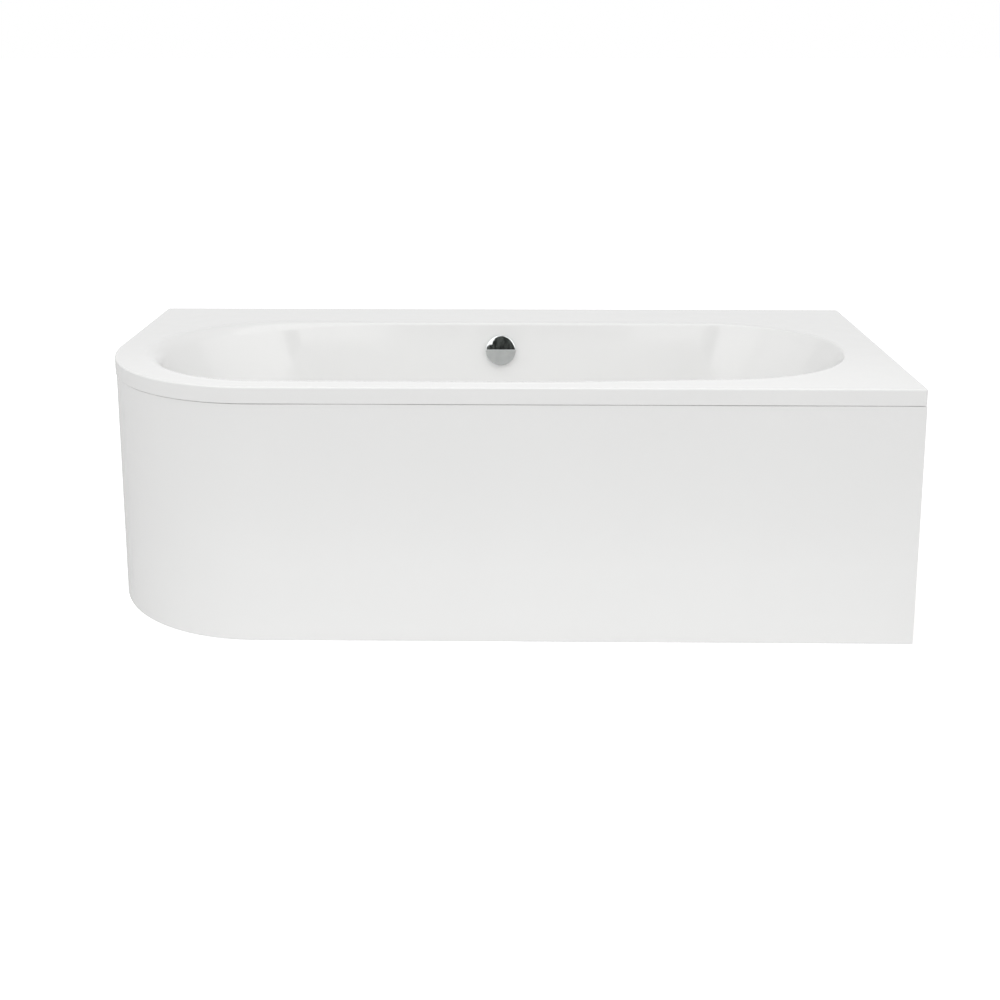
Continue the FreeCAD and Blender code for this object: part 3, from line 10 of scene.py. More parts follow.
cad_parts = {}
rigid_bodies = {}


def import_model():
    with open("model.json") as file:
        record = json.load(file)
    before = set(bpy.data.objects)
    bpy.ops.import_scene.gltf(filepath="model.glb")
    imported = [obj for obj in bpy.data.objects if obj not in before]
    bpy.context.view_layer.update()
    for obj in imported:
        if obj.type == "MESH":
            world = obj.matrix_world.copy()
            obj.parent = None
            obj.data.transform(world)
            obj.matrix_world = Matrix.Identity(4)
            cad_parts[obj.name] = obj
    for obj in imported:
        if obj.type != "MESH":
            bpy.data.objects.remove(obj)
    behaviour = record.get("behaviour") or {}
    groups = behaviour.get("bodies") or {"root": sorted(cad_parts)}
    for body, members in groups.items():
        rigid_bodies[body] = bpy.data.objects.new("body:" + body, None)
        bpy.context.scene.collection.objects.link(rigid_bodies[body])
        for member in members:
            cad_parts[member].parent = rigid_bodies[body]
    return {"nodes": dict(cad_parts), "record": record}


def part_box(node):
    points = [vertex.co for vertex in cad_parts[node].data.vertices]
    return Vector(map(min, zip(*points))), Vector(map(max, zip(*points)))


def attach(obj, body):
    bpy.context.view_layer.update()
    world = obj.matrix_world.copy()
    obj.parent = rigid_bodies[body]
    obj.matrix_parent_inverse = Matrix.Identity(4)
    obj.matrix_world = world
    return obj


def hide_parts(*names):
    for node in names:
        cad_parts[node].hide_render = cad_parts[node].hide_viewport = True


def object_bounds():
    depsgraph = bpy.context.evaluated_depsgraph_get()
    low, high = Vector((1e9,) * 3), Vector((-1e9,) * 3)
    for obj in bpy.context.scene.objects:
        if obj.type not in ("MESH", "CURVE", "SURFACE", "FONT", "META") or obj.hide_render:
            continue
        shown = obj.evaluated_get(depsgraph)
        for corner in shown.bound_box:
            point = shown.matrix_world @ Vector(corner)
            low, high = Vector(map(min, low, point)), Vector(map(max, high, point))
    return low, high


MM = 0.001
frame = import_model()
NODES = frame["nodes"]
cad_box = [list(corner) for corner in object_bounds()]

# ------------------------------------------------------------------ sizes
LOW, HIGH = Vector(cad_box[0]), Vector(cad_box[1])
LEFT, RIGHT, FRONT, BACK, TOP = LOW.x, HIGH.x, LOW.y, HIGH.y, HIGH.z
CORNER = 350 * MM
SMALL_CORNER = 6 * MM
SHARPEST_CORNER = 1.2 * MM
ACRYLIC = 5 * MM
SKIN = 8 * MM
LIP_HEIGHT = 35 * MM
LIP_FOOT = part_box("acrylic_shell")[1].z - LIP_HEIGHT
FLOOR_Z = 135 * MM
BASIN_Y = -42 * MM
BASIN_TOP = (760 * MM, 256 * MM, 480 * MM)      # half length, half width, half straight
BASIN_FOOT = (554 * MM, 192 * MM, 364 * MM)
FLOOR_ROLL = 65 * MM
WALL_SLOPE = math.atan2(BASIN_TOP[1] - BASIN_FOOT[1], TOP - FLOOR_Z)
OVERFLOW_Z = 475 * MM
DRAIN_Y = 50 * MM
HOLE_RADIUS = 27 * MM


# ------------------------------------------------------------------ material helpers
class Shader:
    """A Principled material and the few nodes that the finishes here are made of."""

    def __init__(self, name, rough, metal=0.0, **sockets):
        self.material = bpy.data.materials.new(name)
        self.material.use_nodes = True
        self.tree = self.material.node_tree
        self.bsdf = self.tree.nodes["Principled BSDF"]
        self.set("Metallic", metal)
        self.set("Roughness", rough)
        for socket, value in sockets.items():
            self.set(socket.replace("_", " "), value)
        self.where = self.node("ShaderNodeTexCoord").outputs["Object"]

    def node(self, kind, **inputs):
        made = self.tree.nodes.new(kind)
        for key, value in inputs.items():
            made.inputs[key.replace("_", " ")].default_value = value
        return made

    def set(self, socket, value):
        self.bsdf.inputs[socket].default_value = value

    def link(self, out, into):
        self.tree.links.new(out, into)

    def stretched(self, scale):
        mapping = self.node("ShaderNodeMapping")
        mapping.inputs["Scale"].default_value = scale
        self.link(self.where, mapping.inputs["Vector"])
        return mapping.outputs["Vector"]

    def noise(self, scale, detail=4.0, rough=0.55, where=None, distort=0.0):
        made = self.node("ShaderNodeTexNoise", Scale=scale, Detail=detail, Roughness=rough,
                         Distortion=distort)
        self.link(where or self.where, made.inputs["Vector"])
        return made.outputs["Fac"]

    def cells(self, scale, where=None):
        made = self.node("ShaderNodeTexVoronoi", Scale=scale)
        self.link(where or self.where, made.inputs["Vector"])
        return made.outputs["Color"]

    def ramp(self, fac, stops):
        made = self.node("ShaderNodeValToRGB")
        ramp = made.color_ramp
        while len(ramp.elements) < len(stops):
            ramp.elements.new(0.5)
        for element, (at, colour) in zip(ramp.elements, stops):
            element.position = at
            element.color = (*colour, 1.0)
        self.link(fac, made.inputs["Fac"])
        return made.outputs["Color"]

    def spread(self, fac, low, high, start=0.0, end=1.0):
        made = self.node("ShaderNodeMapRange")
        ends = (("From Min", start), ("From Max", end), ("To Min", low), ("To Max", high))
        for key, value in ends:
            made.inputs[key].default_value = value
        self.link(fac, made.inputs["Value"])
        return made.outputs["Result"]

    def mix(self, fac, a, b, kind="MIX"):
        made = self.node("ShaderNodeMix")
        made.data_type = "RGBA"
        made.blend_type = kind
        for value, key in ((fac, 0), (a, 6), (b, 7)):
            if isinstance(value, bpy.types.NodeSocket):
                self.link(value, made.inputs[key])
            else:
                made.inputs[key].default_value = value if key == 0 else (*value, 1.0)
        return made.outputs[2]

    def colour(self, source):
        self.link(source, self.bsdf.inputs["Base Color"])
        return self

    def rough(self, source):
        self.link(source, self.bsdf.inputs["Roughness"])
        return self

    def bump(self, height, strength, distance):
        made = self.node("ShaderNodeBump", Strength=strength, Distance=distance)
        self.link(height, made.inputs["Height"])
        before = self.bsdf.inputs["Normal"]
        if before.is_linked:
            self.link(before.links[0].from_socket, made.inputs["Normal"])
        self.link(made.outputs["Normal"], before)
        return self


def tint(colour, factor):
    return tuple(channel * factor for channel in colour)


# ------------------------------------------------------------------ finishes
def acrylic(name, colour):
    s = Shader(name, 0.16, Coat_Weight=0.35, Coat_Roughness=0.05, Specular_IOR_Level=0.5)
    cloud = s.noise(3.2, 3.0)
    s.colour(s.ramp(cloud, [(0.3, tint(colour, 0.992)), (0.7, colour)]))
    s.rough(s.spread(s.noise(26.0, 5.0), 0.13, 0.21, 0.3, 0.7))
    s.bump(s.noise(9.0, 2.0), 0.05, 2.0 * MM)
    s.bump(s.noise(420.0, 2.0), 0.03, 0.05 * MM)
    return s.material


def fibreglass():
    s = Shader("fibreglass_mat", 0.5, Coat_Weight=0.15, Coat_Roughness=0.3)
    resin, glass, dark = (0.62, 0.57, 0.43), (0.80, 0.77, 0.68), (0.47, 0.41, 0.28)
    warp = s.noise(14.0, 5.0)
    strands = []
    for scale in ((700.0, 60.0, 300.0), (60.0, 700.0, 260.0), (260.0, 300.0, 60.0)):
        strands.append(s.noise(1.0, 3.0, 0.6, s.stretched(scale), 1.2))
    cover = s.mix(0.5, strands[0], s.mix(0.5, strands[1], strands[2]))
    base = s.ramp(cover, [(0.36, dark), (0.47, resin), (0.58, glass)])
    blotch = s.ramp(warp, [(0.35, (0.80, 0.78, 0.72)), (0.65, (1.0, 1.0, 1.0))])
    s.colour(s.mix(1.0, base, blotch, "MULTIPLY"))
    s.rough(s.spread(cover, 0.35, 0.75, 0.35, 0.65))
    s.bump(warp, 0.5, 3.0 * MM)
    s.bump(cover, 0.55, 1.2 * MM)
    return s.material


def chipboard():
    s = Shader("chipboard_mat", 0.85)
    flakes = s.cells(230.0, where=s.stretched((1.0, 0.6, 1.6)))
    grain = s.noise(900.0, 3.0)
    tone = s.ramp(s.mix(0.5, flakes, grain), [
        (0.3, (0.40, 0.27, 0.14)), (0.5, (0.60, 0.45, 0.27)), (0.72, (0.74, 0.60, 0.40))])
    patches = s.ramp(s.noise(6.0), [(0.3, (0.48, 0.34, 0.18)), (0.7, (0.74, 0.6, 0.4))])
    s.colour(s.mix(0.25, tone, patches))
    s.rough(s.spread(grain, 0.75, 0.95))
    s.bump(grain, 0.4, 0.4 * MM)
    return s.material


def softwood(name, along):
    """Sawn softwood whose grain runs along X, Y or Z."""
    s = Shader(name, 0.7)
    scale = [55.0, 55.0, 55.0]
    scale["XYZ".index(along)] = 2.2
    rings = s.noise(1.0, 5.0, 0.6, s.stretched(tuple(scale)), 0.8)
    fine = s.noise(1.0, 2.0, 0.5, s.stretched(tuple(v * 9 for v in scale)))
    s.colour(s.ramp(s.mix(0.25, rings, fine), [
        (0.32, (0.43, 0.27, 0.13)), (0.5, (0.66, 0.47, 0.27)), (0.66, (0.78, 0.61, 0.39))]))
    s.rough(s.spread(fine, 0.6, 0.85))
    s.bump(fine, 0.35, 0.35 * MM)
    return s.material


def metal(name, colour, rough, wear=0.15, spangle=0.0, brushed=None):
    s = Shader(name, rough, 1.0)
    dirt = s.noise(18.0, 6.0)
    tone = s.ramp(dirt, [(0.3, tint(colour, 1 - wear)), (0.68, colour)])
    if spangle:
        flakes = s.ramp(s.cells(95.0), [(0.1, tint(colour, 0.72)), (0.9, tint(colour, 1.12))])
        tone = s.mix(spangle, tone, flakes)
    s.colour(tone)
    scratch = s.noise(1.0, 3.0, 0.6, s.stretched(brushed)) if brushed else s.noise(160.0, 4.0)
    s.rough(s.spread(scratch, rough * 0.75, min(1.0, rough * 1.35), 0.3, 0.7))
    s.bump(scratch, 0.12, 0.08 * MM)
    return s.material


def chrome():
    s = Shader("chrome_mat", 0.05, 1.0)
    smear = s.noise(60.0, 4.0)
    s.colour(s.ramp(smear, [(0.3, (0.66, 0.68, 0.68)), (0.7, (0.74, 0.76, 0.755))]))
    s.rough(s.spread(smear, 0.02, 0.06, 0.35, 0.7))
    s.bump(s.noise(35.0, 2.0), 0.02, 0.2 * MM)
    return s.material


def plastic(name, colour, rough=0.42, grain=900.0, depth=0.06):
    s = Shader(name, rough)
    s.colour(s.ramp(s.noise(12.0, 5.0), [(0.3, tint(colour, 0.93)), (0.7, colour)]))
    fine = s.noise(grain, 2.0)
    s.rough(s.spread(fine, rough * 0.85, rough * 1.2, 0.3, 0.7))
    s.bump(fine, 0.2, depth * MM)
    return s.material


def rubber():
    s = Shader("rubber_mat", 0.75, Specular_IOR_Level=0.35)
    patches = s.noise(20.0, 5.0)
    s.colour(s.ramp(patches, [(0.3, (0.022, 0.022, 0.023)), (0.7, (0.045, 0.045, 0.046))]))
    s.bump(s.noise(1400.0, 2.0), 0.3, 0.08 * MM)
    return s.material


WHITE = (0.865, 0.865, 0.858)
FINISH = {
    "white_acrylic": acrylic("acrylic_mat", WHITE),
    "panel_acrylic": acrylic("panel_mat", WHITE),
    "fibreglass": fibreglass(),
    "chipboard": chipboard(),
    "softwood": softwood("softwood_mat", "X"),
    "galvanised_steel": metal("galvanised_mat", (0.60, 0.62, 0.63), 0.42, 0.18, 0.45),
    "zinc_fixings": metal("zinc_mat", (0.70, 0.68, 0.62), 0.30, 0.2),
    "foot_plastic": plastic("foot_mat", (0.045, 0.046, 0.05), 0.5, 700.0, 0.1),
    "magnet_block": plastic("magnet_mat", (0.12, 0.12, 0.13), 0.5),
    "chrome": chrome(),
    "brass_shaft": metal("brass_mat", (0.66, 0.48, 0.22), 0.25, 0.2, 0.0, (30.0, 30.0, 900.0)),
    "white_plastic": plastic("white_plastic_mat", (0.80, 0.81, 0.80)),
    "hose_plastic": plastic("hose_mat", (0.50, 0.52, 0.53), 0.38),
    "nut_plastic": plastic("nut_mat", (0.23, 0.25, 0.27), 0.45),
    "black_rubber": rubber(),
    "cable_casing": plastic("casing_mat", (0.035, 0.036, 0.04), 0.3, 500.0, 0.05),
    "steel_wire": metal("wire_mat", (0.55, 0.55, 0.54), 0.35, 0.2, 0.0, (600.0, 600.0, 600.0)),
    "grey_acetal": plastic("acetal_mat", (0.42, 0.44, 0.45), 0.4),
}
SOFTWOOD_Y = softwood("softwood_y_mat", "Y")
SOFTWOOD_Z = softwood("softwood_z_mat", "Z")
SLOT_OF = {row["node"]: row["material_slot"] for row in frame["record"]["subparts"]}


# ------------------------------------------------------------------ mesh helpers
def piece(name, mesh, slot, node, body="bath", sharp=35):
    """A finished object that rides on a body and stands for a CAD node.

    Edges that turn by more than sharp degrees stay crisp.
    """
    obj = bpy.data.objects.new(name, mesh)
    bpy.context.scene.collection.objects.link(obj)
    mesh.materials.append(FINISH[slot])
    mesh.shade_smooth()
    mesh.set_sharp_from_angle(angle=math.radians(sharp))
    weigh = obj.modifiers.new("normals", "WEIGHTED_NORMAL")
    weigh.keep_sharp = True
    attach(obj, body)
    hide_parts(node)
    return obj


def to_mesh(name, bm, turn=None):
    """A mesh from bmesh, with its normals outwards."""
    if turn:
        bmesh.ops.transform(bm, matrix=turn, verts=bm.verts)
    bmesh.ops.recalc_face_normals(bm, faces=bm.faces)
    mesh = bpy.data.meshes.new(name)
    bm.to_mesh(mesh)
    bm.free()
    return mesh


def skin_loops(bm, loops):
    """Quads between neighbouring closed loops of the same length. Returns the rows of vertices."""
    rows = [[bm.verts.new(point) for point in loop] for loop in loops]
    for upper, lower in zip(rows, rows[1:]):
        bridge(bm, upper, lower)
    return rows


def bridge(bm, upper, lower):
    """Quads between two closed rows of vertices."""
    count = len(upper)
    for i in range(count):
        j = (i + 1) % count
        bm.faces.new((upper[i], upper[j], lower[j], lower[i]))


def cap_ends(bm, rows):
    """Closes the first and the last row."""
    bm.faces.new(rows[0])
    bm.faces.new(list(reversed(rows[-1])))


def lathe(name, outline, turn, segments, ripple):
    """A solid of revolution about Z from a closed (radius, z) outline.

    ripple(angle, i) is added to the radius of the outline's point i.
    """
    bm = bmesh.new()
    loops = []
    for k in range(segments):
        angle = 2 * math.pi * k / segments
        loop = []
        for i, (radius, z) in enumerate(outline):
            radius += ripple(angle, i)
            loop.append(Vector((radius * math.cos(angle), radius * math.sin(angle), z)))
        loops.append(loop)
    rows = skin_loops(bm, loops)
    bridge(bm, rows[-1], rows[0])
    bmesh.ops.remove_doubles(bm, verts=bm.verts, dist=1e-7)
    bmesh.ops.dissolve_degenerate(bm, edges=bm.edges, dist=1e-8)
    return to_mesh(name, bm, turn)


def circle(radius, z, sides, x=0.0, y=0.0):
    """A ring of points about an upright axis."""
    angles = [2 * math.pi * k / sides for k in range(sides)]
    return [Vector((x + radius * math.cos(a), y + radius * math.sin(a), z)) for a in angles]


ROUND_STEPS = 4


def rounded(points, radii):
    """A closed 2-D outline with a radius for each corner, 0 for a crisp one."""
    made = []
    for i, (at, radius) in enumerate(zip(points, radii)):
        at = Vector(at)
        if radius <= 0:
            made.append(at)
            continue
        back = Vector(points[i - 1]) - at
        ahead = Vector(points[(i + 1) % len(points)]) - at
        reach = min(radius, back.length * 0.49, ahead.length * 0.49)
        back, ahead = back.normalized(), ahead.normalized()
        half = back.angle(ahead) / 2
        reach = min(reach, radius / max(math.tan(half), 1e-6))
        start, end = at + back * reach, at + ahead * reach
        for k in range(ROUND_STEPS + 1):
            t = k / ROUND_STEPS
            made.append(start * (1 - t) ** 2 + at * 2 * t * (1 - t) + end * t ** 2)
    return [tuple(p) for p in made]


# ------------------------------------------------------------------ the basin's surface
END_STEPS, SIDE_STEPS = 72, 44                  # round the basin
RIM_STEPS, WALL_STEPS, ROLL_STEPS = 10, 14, 14  # down its wall
CORNER_STEPS, SMALL_CORNER_STEPS = 40, 4
FLOOR_RINGS = (0.8, 0.6, 0.4, 0.2)
FLOOR_LINE = 0.55                               # length share of the floor's middle line
CRISP_RIM, SOFT_RIM = 8 * MM, 45 * MM           # the rim's edge radius
SOFT_START, SOFT_LENGTH = 0.25, 0.55            # left of the middle it goes from crisp to soft,
FRONT_DEPTH, FRONT_REACH = 0.2, 0.85            # and along the front much further right
LIP_EDGE, LIP_FOOT_EDGE, LIP_EDGE_STEPS = 4 * MM, 1.2 * MM, 6
UNDER_ROLL, LAYER_ROLL = 3 * MM, 4 * MM         # least edge radius under the acrylic and the fibre
CUTTER_DEPTH, CUTTER_SIDES = 80 * MM, 72
LUMPS = ((16, 1.4), (60, 0.7))                  # the fibre's, as (noise scale, height in mm)
LUMP_TOP = 25 * MM                              # they end this far under the deck


def basin_ring(share, skin=0.0):
    """The basin's outline at a share of its height, moved out by skin."""
    length, width, straight = (
        foot + share * (top - foot) for foot, top in zip(BASIN_FOOT, BASIN_TOP))
    end_slope = math.atan2(BASIN_TOP[0] - BASIN_FOOT[0], TOP - FLOOR_Z)
    length += skin / math.cos(end_slope)
    width += skin / math.cos(WALL_SLOPE)
    z = FLOOR_Z + share * (TOP - FLOOR_Z)
    ring = []
    for side in (1, -1):
        for k in range(SIDE_STEPS):
            x = -side * straight + side * 2 * straight * k / SIDE_STEPS
            ring.append(Vector((x, BASIN_Y - side * width, z)))
        for k in range(END_STEPS):
            angle = -math.pi / 2 + math.pi * k / END_STEPS
            x = side * (straight + (length - straight) * math.cos(angle))
            ring.append(Vector((x, BASIN_Y + side * width * math.sin(angle), z)))
    return ring


def arc(corner, toward, away, radius, steps):
    """Points of a fillet between two rays from a corner."""
    half = toward.angle(away) / 2
    reach = radius / math.tan(half)
    centre = corner + (toward + away).normalized() * (radius / math.sin(half))
    start, end = corner + toward * reach - centre, corner + away * reach - centre
    turn = start.angle(end)
    made = []
    for k in range(steps + 1):
        t = k / steps
        a, b = math.sin((1 - t) * turn) / math.sin(turn), math.sin(t * turn) / math.sin(turn)
        made.append(centre + start * a + end * b)
    return made


def basin_loops(skin, deck_z, roll, floor_z):
    """Loops from the deck's edge over the rim roll and down the wall to the floor's edge."""
    low, high = basin_ring(0.0, skin), basin_ring(1.0, skin)
    count = len(low)
    columns = []
    for i in range(count):
        before, after = high[i - 1], high[(i + 1) % count]
        out = (after - before).cross(Vector((0, 0, 1))).normalized()
        down = (low[i] - high[i]).normalized()
        corner = high[i] + down * ((high[i].z - deck_z) / -down.z)
        foot = high[i] + down * ((high[i].z - floor_z) / -down.z)
        rim = arc(corner, out, down, roll(corner), RIM_STEPS)
        base = arc(foot, -down, -out, FLOOR_ROLL + skin, ROLL_STEPS)
        wall = [rim[-1].lerp(base[0], k / WALL_STEPS) for k in range(1, WALL_STEPS)]
        columns.append(rim + wall + base)
    return [[column[k] for column in columns] for k in range(len(columns[0]))]


def floor_fill(bm, row, z):
    """Rings that close the basin's floor towards its middle line."""
    last = row
    for share in FLOOR_RINGS:
        stretch = FLOOR_LINE + (1 - FLOOR_LINE) * share
        ring = []
        for vert in row:
            x, y = vert.co.x, vert.co.y - BASIN_Y
            ring.append(bm.verts.new((x * stretch, BASIN_Y + y * share, z)))
        bridge(bm, last, ring)
        last = ring
    bm.faces.new(last)


def outline_loop(inset, z):
    """The rim's outline, moved in by inset."""
    small = max(SMALL_CORNER - inset, SHARPEST_CORNER)
    large = CORNER - inset
    x0, x1, y0, y1 = LEFT + inset, RIGHT - inset, FRONT + inset, BACK - inset
    corners = (
        (x1 - small, y0 + small, small, -90, SMALL_CORNER_STEPS),
        (x1 - small, y1 - small, small, 0, SMALL_CORNER_STEPS),
        (x0 + small, y1 - small, small, 90, SMALL_CORNER_STEPS),
        (x0 + large, y0 + large, large, 180, CORNER_STEPS),
    )
    loop = []
    for x, y, radius, start, steps in corners:
        for k in range(steps + 1):
            angle = math.radians(start + 90 * k / steps)
            loop.append(Vector((x + radius * math.cos(angle), y + radius * math.sin(angle), z)))
    return loop


def fill_deck(bm, outer, inner):
    """Faces of the flat deck between its outer edge and the basin's edge."""
    points = [v.co.xy for v in outer] + [v.co.xy for v in inner]
    verts = outer + inner
    n, m = len(outer), len(inner)
    edges = [(i, (i + 1) % n) for i in range(n)] + [(n + i, n + (i + 1) % m) for i in range(m)]
    made = delaunay_2d_cdt(points, edges, [], 1, 1e-9)
    ids = [originals[0] for originals in made[3]]
    for tri in made[2]:
        chosen = [ids[i] for i in tri]
        if all(i >= n for i in chosen):
            centre = sum((points[i] for i in chosen), Vector((0, 0))) / 3
            if inside_basin(centre, [points[n + i] for i in range(m)]):
                continue
        bm.faces.new([verts[i] for i in chosen])


def inside_basin(point, ring):
    """True if a plan point lies within a closed ring."""
    hit = False
    for a, b in zip(ring, ring[1:] + ring[:1]):
        if (a.y > point.y) != (b.y > point.y):
            if point.x < (b.x - a.x) * (point.y - a.y) / (b.y - a.y) + a.x:
                hit = not hit
    return hit


def ease(share):
    """A smooth step from 0 to 1."""
    share = max(0.0, min(1.0, share))
    return share * share * (3 - 2 * share)


def rim_roll(point):
    """The rim's edge radius: crisp along the back and right, soft round the left tip."""
    frontness = ease((BASIN_Y - point.y) / FRONT_DEPTH)
    leftness = ease((-point.x + FRONT_REACH * frontness - SOFT_START) / SOFT_LENGTH)
    return CRISP_RIM + (SOFT_RIM - CRISP_RIM) * leftness


def roll_below(depth, least):
    """The rim's edge radius on a surface that lies that deep under the acrylic's face."""
    def roll(point):
        return max(rim_roll(point) - depth, least)
    return roll


def bath_shell():
    """The whole acrylic sheet: deck, lip, basin and its hidden side, as one closed mesh."""
    bm = bmesh.new()
    top = skin_loops(bm, basin_loops(0.0, TOP, rim_roll, FLOOR_Z))
    floor_fill(bm, top[-1], FLOOR_Z)
    roll = roll_below(ACRYLIC, UNDER_ROLL)
    under = skin_loops(bm, basin_loops(ACRYLIC, TOP - ACRYLIC, roll, FLOOR_Z - ACRYLIC))
    floor_fill(bm, under[-1], FLOOR_Z - ACRYLIC)
    rows = skin_loops(bm, [outline_loop(inset, z) for inset, z in lip_profile()])
    fill_deck(bm, rows[0], top[0])
    fill_deck(bm, rows[-1], under[0])
    mesh = to_mesh("bath_shell_mesh", bm)
    obj = piece("bath_shell", mesh, "white_acrylic", "acrylic_shell", sharp=50)
    pierce(obj)
    return obj


def lip_profile():
    """The downturned lip, as (inset, z), from the deck over its rounded edge and back up inside."""
    edge, foot = LIP_EDGE, LIP_FOOT_EDGE
    bulge = 0.35 * foot
    profile = [(edge, TOP)]
    for k in range(1, LIP_EDGE_STEPS):
        angle = math.radians(90 * k / LIP_EDGE_STEPS)
        profile.append((edge * (1 - math.sin(angle)), TOP - edge * (1 - math.cos(angle))))
    profile += [(0.0, TOP - edge), (0.0, (TOP + LIP_FOOT) / 2), (0.0, LIP_FOOT + foot)]
    profile += [(bulge, LIP_FOOT + bulge), (foot, LIP_FOOT), (ACRYLIC - foot, LIP_FOOT)]
    profile += [(ACRYLIC - bulge, LIP_FOOT + bulge), (ACRYLIC, LIP_FOOT + foot)]
    return profile + [(ACRYLIC, TOP - ACRYLIC)]


def cutter(matrix):
    """A cylinder that cuts a hole for a fitting."""
    bm = bmesh.new()
    bmesh.ops.create_cone(bm, cap_ends=True, segments=CUTTER_SIDES, radius1=HOLE_RADIUS,
                          radius2=HOLE_RADIUS, depth=CUTTER_DEPTH, matrix=matrix)
    obj = bpy.data.objects.new("cutter", to_mesh("cutter_mesh", bm))
    bpy.context.scene.collection.objects.link(obj)
    return obj


def pierce(obj):
    """Cuts the overflow's and the drain's holes through a sheet."""
    holes = [cutter(OVERFLOW), cutter(Matrix.Translation((0, DRAIN_Y, FLOOR_Z)))]
    added = []
    for hole in holes:
        cut = obj.modifiers.new("hole", "BOOLEAN")
        cut.solver = "EXACT"
        cut.object = hole
        added.append(cut)
    kept = [m for m in obj.modifiers if m not in added]
    shown = [(m, m.show_viewport) for m in kept]
    for m in kept:
        m.show_viewport = False
    bpy.context.view_layer.update()
    graph = bpy.context.evaluated_depsgraph_get()
    cut_obj = obj.evaluated_get(graph)
    mesh = bpy.data.meshes.new_from_object(
        cut_obj, preserve_all_data_layers=True, depsgraph=graph)
    for cut in added:
        obj.modifiers.remove(cut)
    for m, was in shown:
        m.show_viewport = was
    obj.data = mesh
    for hole in holes:
        bpy.data.objects.remove(hole)


def overflow_matrix():
    """The overflow's own frame: Z into the basin, Y up the wall."""
    share = (OVERFLOW_Z - FLOOR_Z) / (TOP - FLOOR_Z)
    width = BASIN_FOOT[1] + share * (BASIN_TOP[1] - BASIN_FOOT[1])
    s, c = math.sin(WALL_SLOPE), math.cos(WALL_SLOPE)
    return Matrix((
        (1, 0, 0, 0), (0, s, -c, BASIN_Y + width), (0, c, s, OVERFLOW_Z), (0, 0, 0, 1)))


OVERFLOW = overflow_matrix()
DOWN_THE_WALL = (OVERFLOW.to_3x3() @ Vector((0, -1, 0))).normalized()


def reinforcement():
    """The sprayed glass-fibre layer, lumpy on its hidden side."""
    bm = bmesh.new()
    deck = TOP - SKIN
    roll = roll_below(SKIN, LAYER_ROLL)
    outer = skin_loops(bm, basin_loops(SKIN, deck, roll, FLOOR_Z - SKIN))
    floor_fill(bm, outer[-1], FLOOR_Z - SKIN)
    edge = [bm.verts.new(p) for p in outline_loop(ACRYLIC, deck)]
    fill_deck(bm, edge, outer[0])
    for vert in bm.verts:
        if FLOOR_Z < vert.co.z < deck - LUMP_TOP:
            lump = sum(noise.noise(vert.co * scale) * height for scale, height in LUMPS)
            outward = Vector((vert.co.x * 0.5, vert.co.y - BASIN_Y, 0)).normalized()
            vert.co += outward * lump * MM
    mesh = to_mesh("reinforcement_mesh", bm)
    return piece("glass_fibre_layer", mesh, "fibreglass", "fibreglass_backing", sharp=60)


# ------------------------------------------------------------------ apron panel
PANEL_INSET, PANEL_SHEET, PANEL_GAP, PANEL_REBATE = 1.5 * MM, 5 * MM, 1.0 * MM, 1 * MM
TONGUE, TONGUE_INSET, FLANGE = 20 * MM, 6.5 * MM, 20 * MM
PANEL_STEPS = (60, 48, 20)                      # along the front, round the corner, along the side
PANEL_WAVE, TOP_WAVE = 0.9 * MM, 0.55 * MM      # how uneven its face and its top edge are
TOP_PART = 400 * MM                             # the top edge's unevenness starts above this


def apron_stations(trim):
    """Places along the panel, as (point, outward), from the right wall to the left back."""
    turn_x, turn_y = LEFT + CORNER, FRONT + CORNER
    made = []
    front_steps, turn_steps, side_steps = PANEL_STEPS
    for k in range(front_steps + 1):
        x = RIGHT - trim + (turn_x - RIGHT + trim) * k / front_steps
        made.append((Vector((x, FRONT, 0)), Vector((0, -1, 0))))
    for k in range(1, turn_steps + 1):
        angle = math.radians(270 - 90 * k / turn_steps)
        out = Vector((math.cos(angle), math.sin(angle), 0))
        made.append((Vector((turn_x, turn_y, 0)) + out * CORNER, out))
    for k in range(1, side_steps + 1):
        y = turn_y + (BACK - trim - turn_y) * k / side_steps
        made.append((Vector((LEFT, y, 0)), Vector((-1, 0, 0))))
    return made


def sweep_panel(bm, profile, trim):
    """Sweeps a closed (inset, z) profile along the panel, and caps it."""
    loops = []
    for at, out in apron_stations(trim):
        loop = []
        for inset, z in profile:
            wave = noise.noise(Vector((at.x * 1.7, at.y * 1.7, z * 2.0))) * PANEL_WAVE
            lift = 0.0
            if z > TOP_PART:
                lift = noise.noise(Vector((at.x * 5.0, at.y * 5.0, 4.0))) * TOP_WAVE
            point = at - out * (inset + wave)
            loop.append(Vector((point.x, point.y, z + lift)))
        loops.append(loop)
    cap_ends(bm, skin_loops(bm, loops))


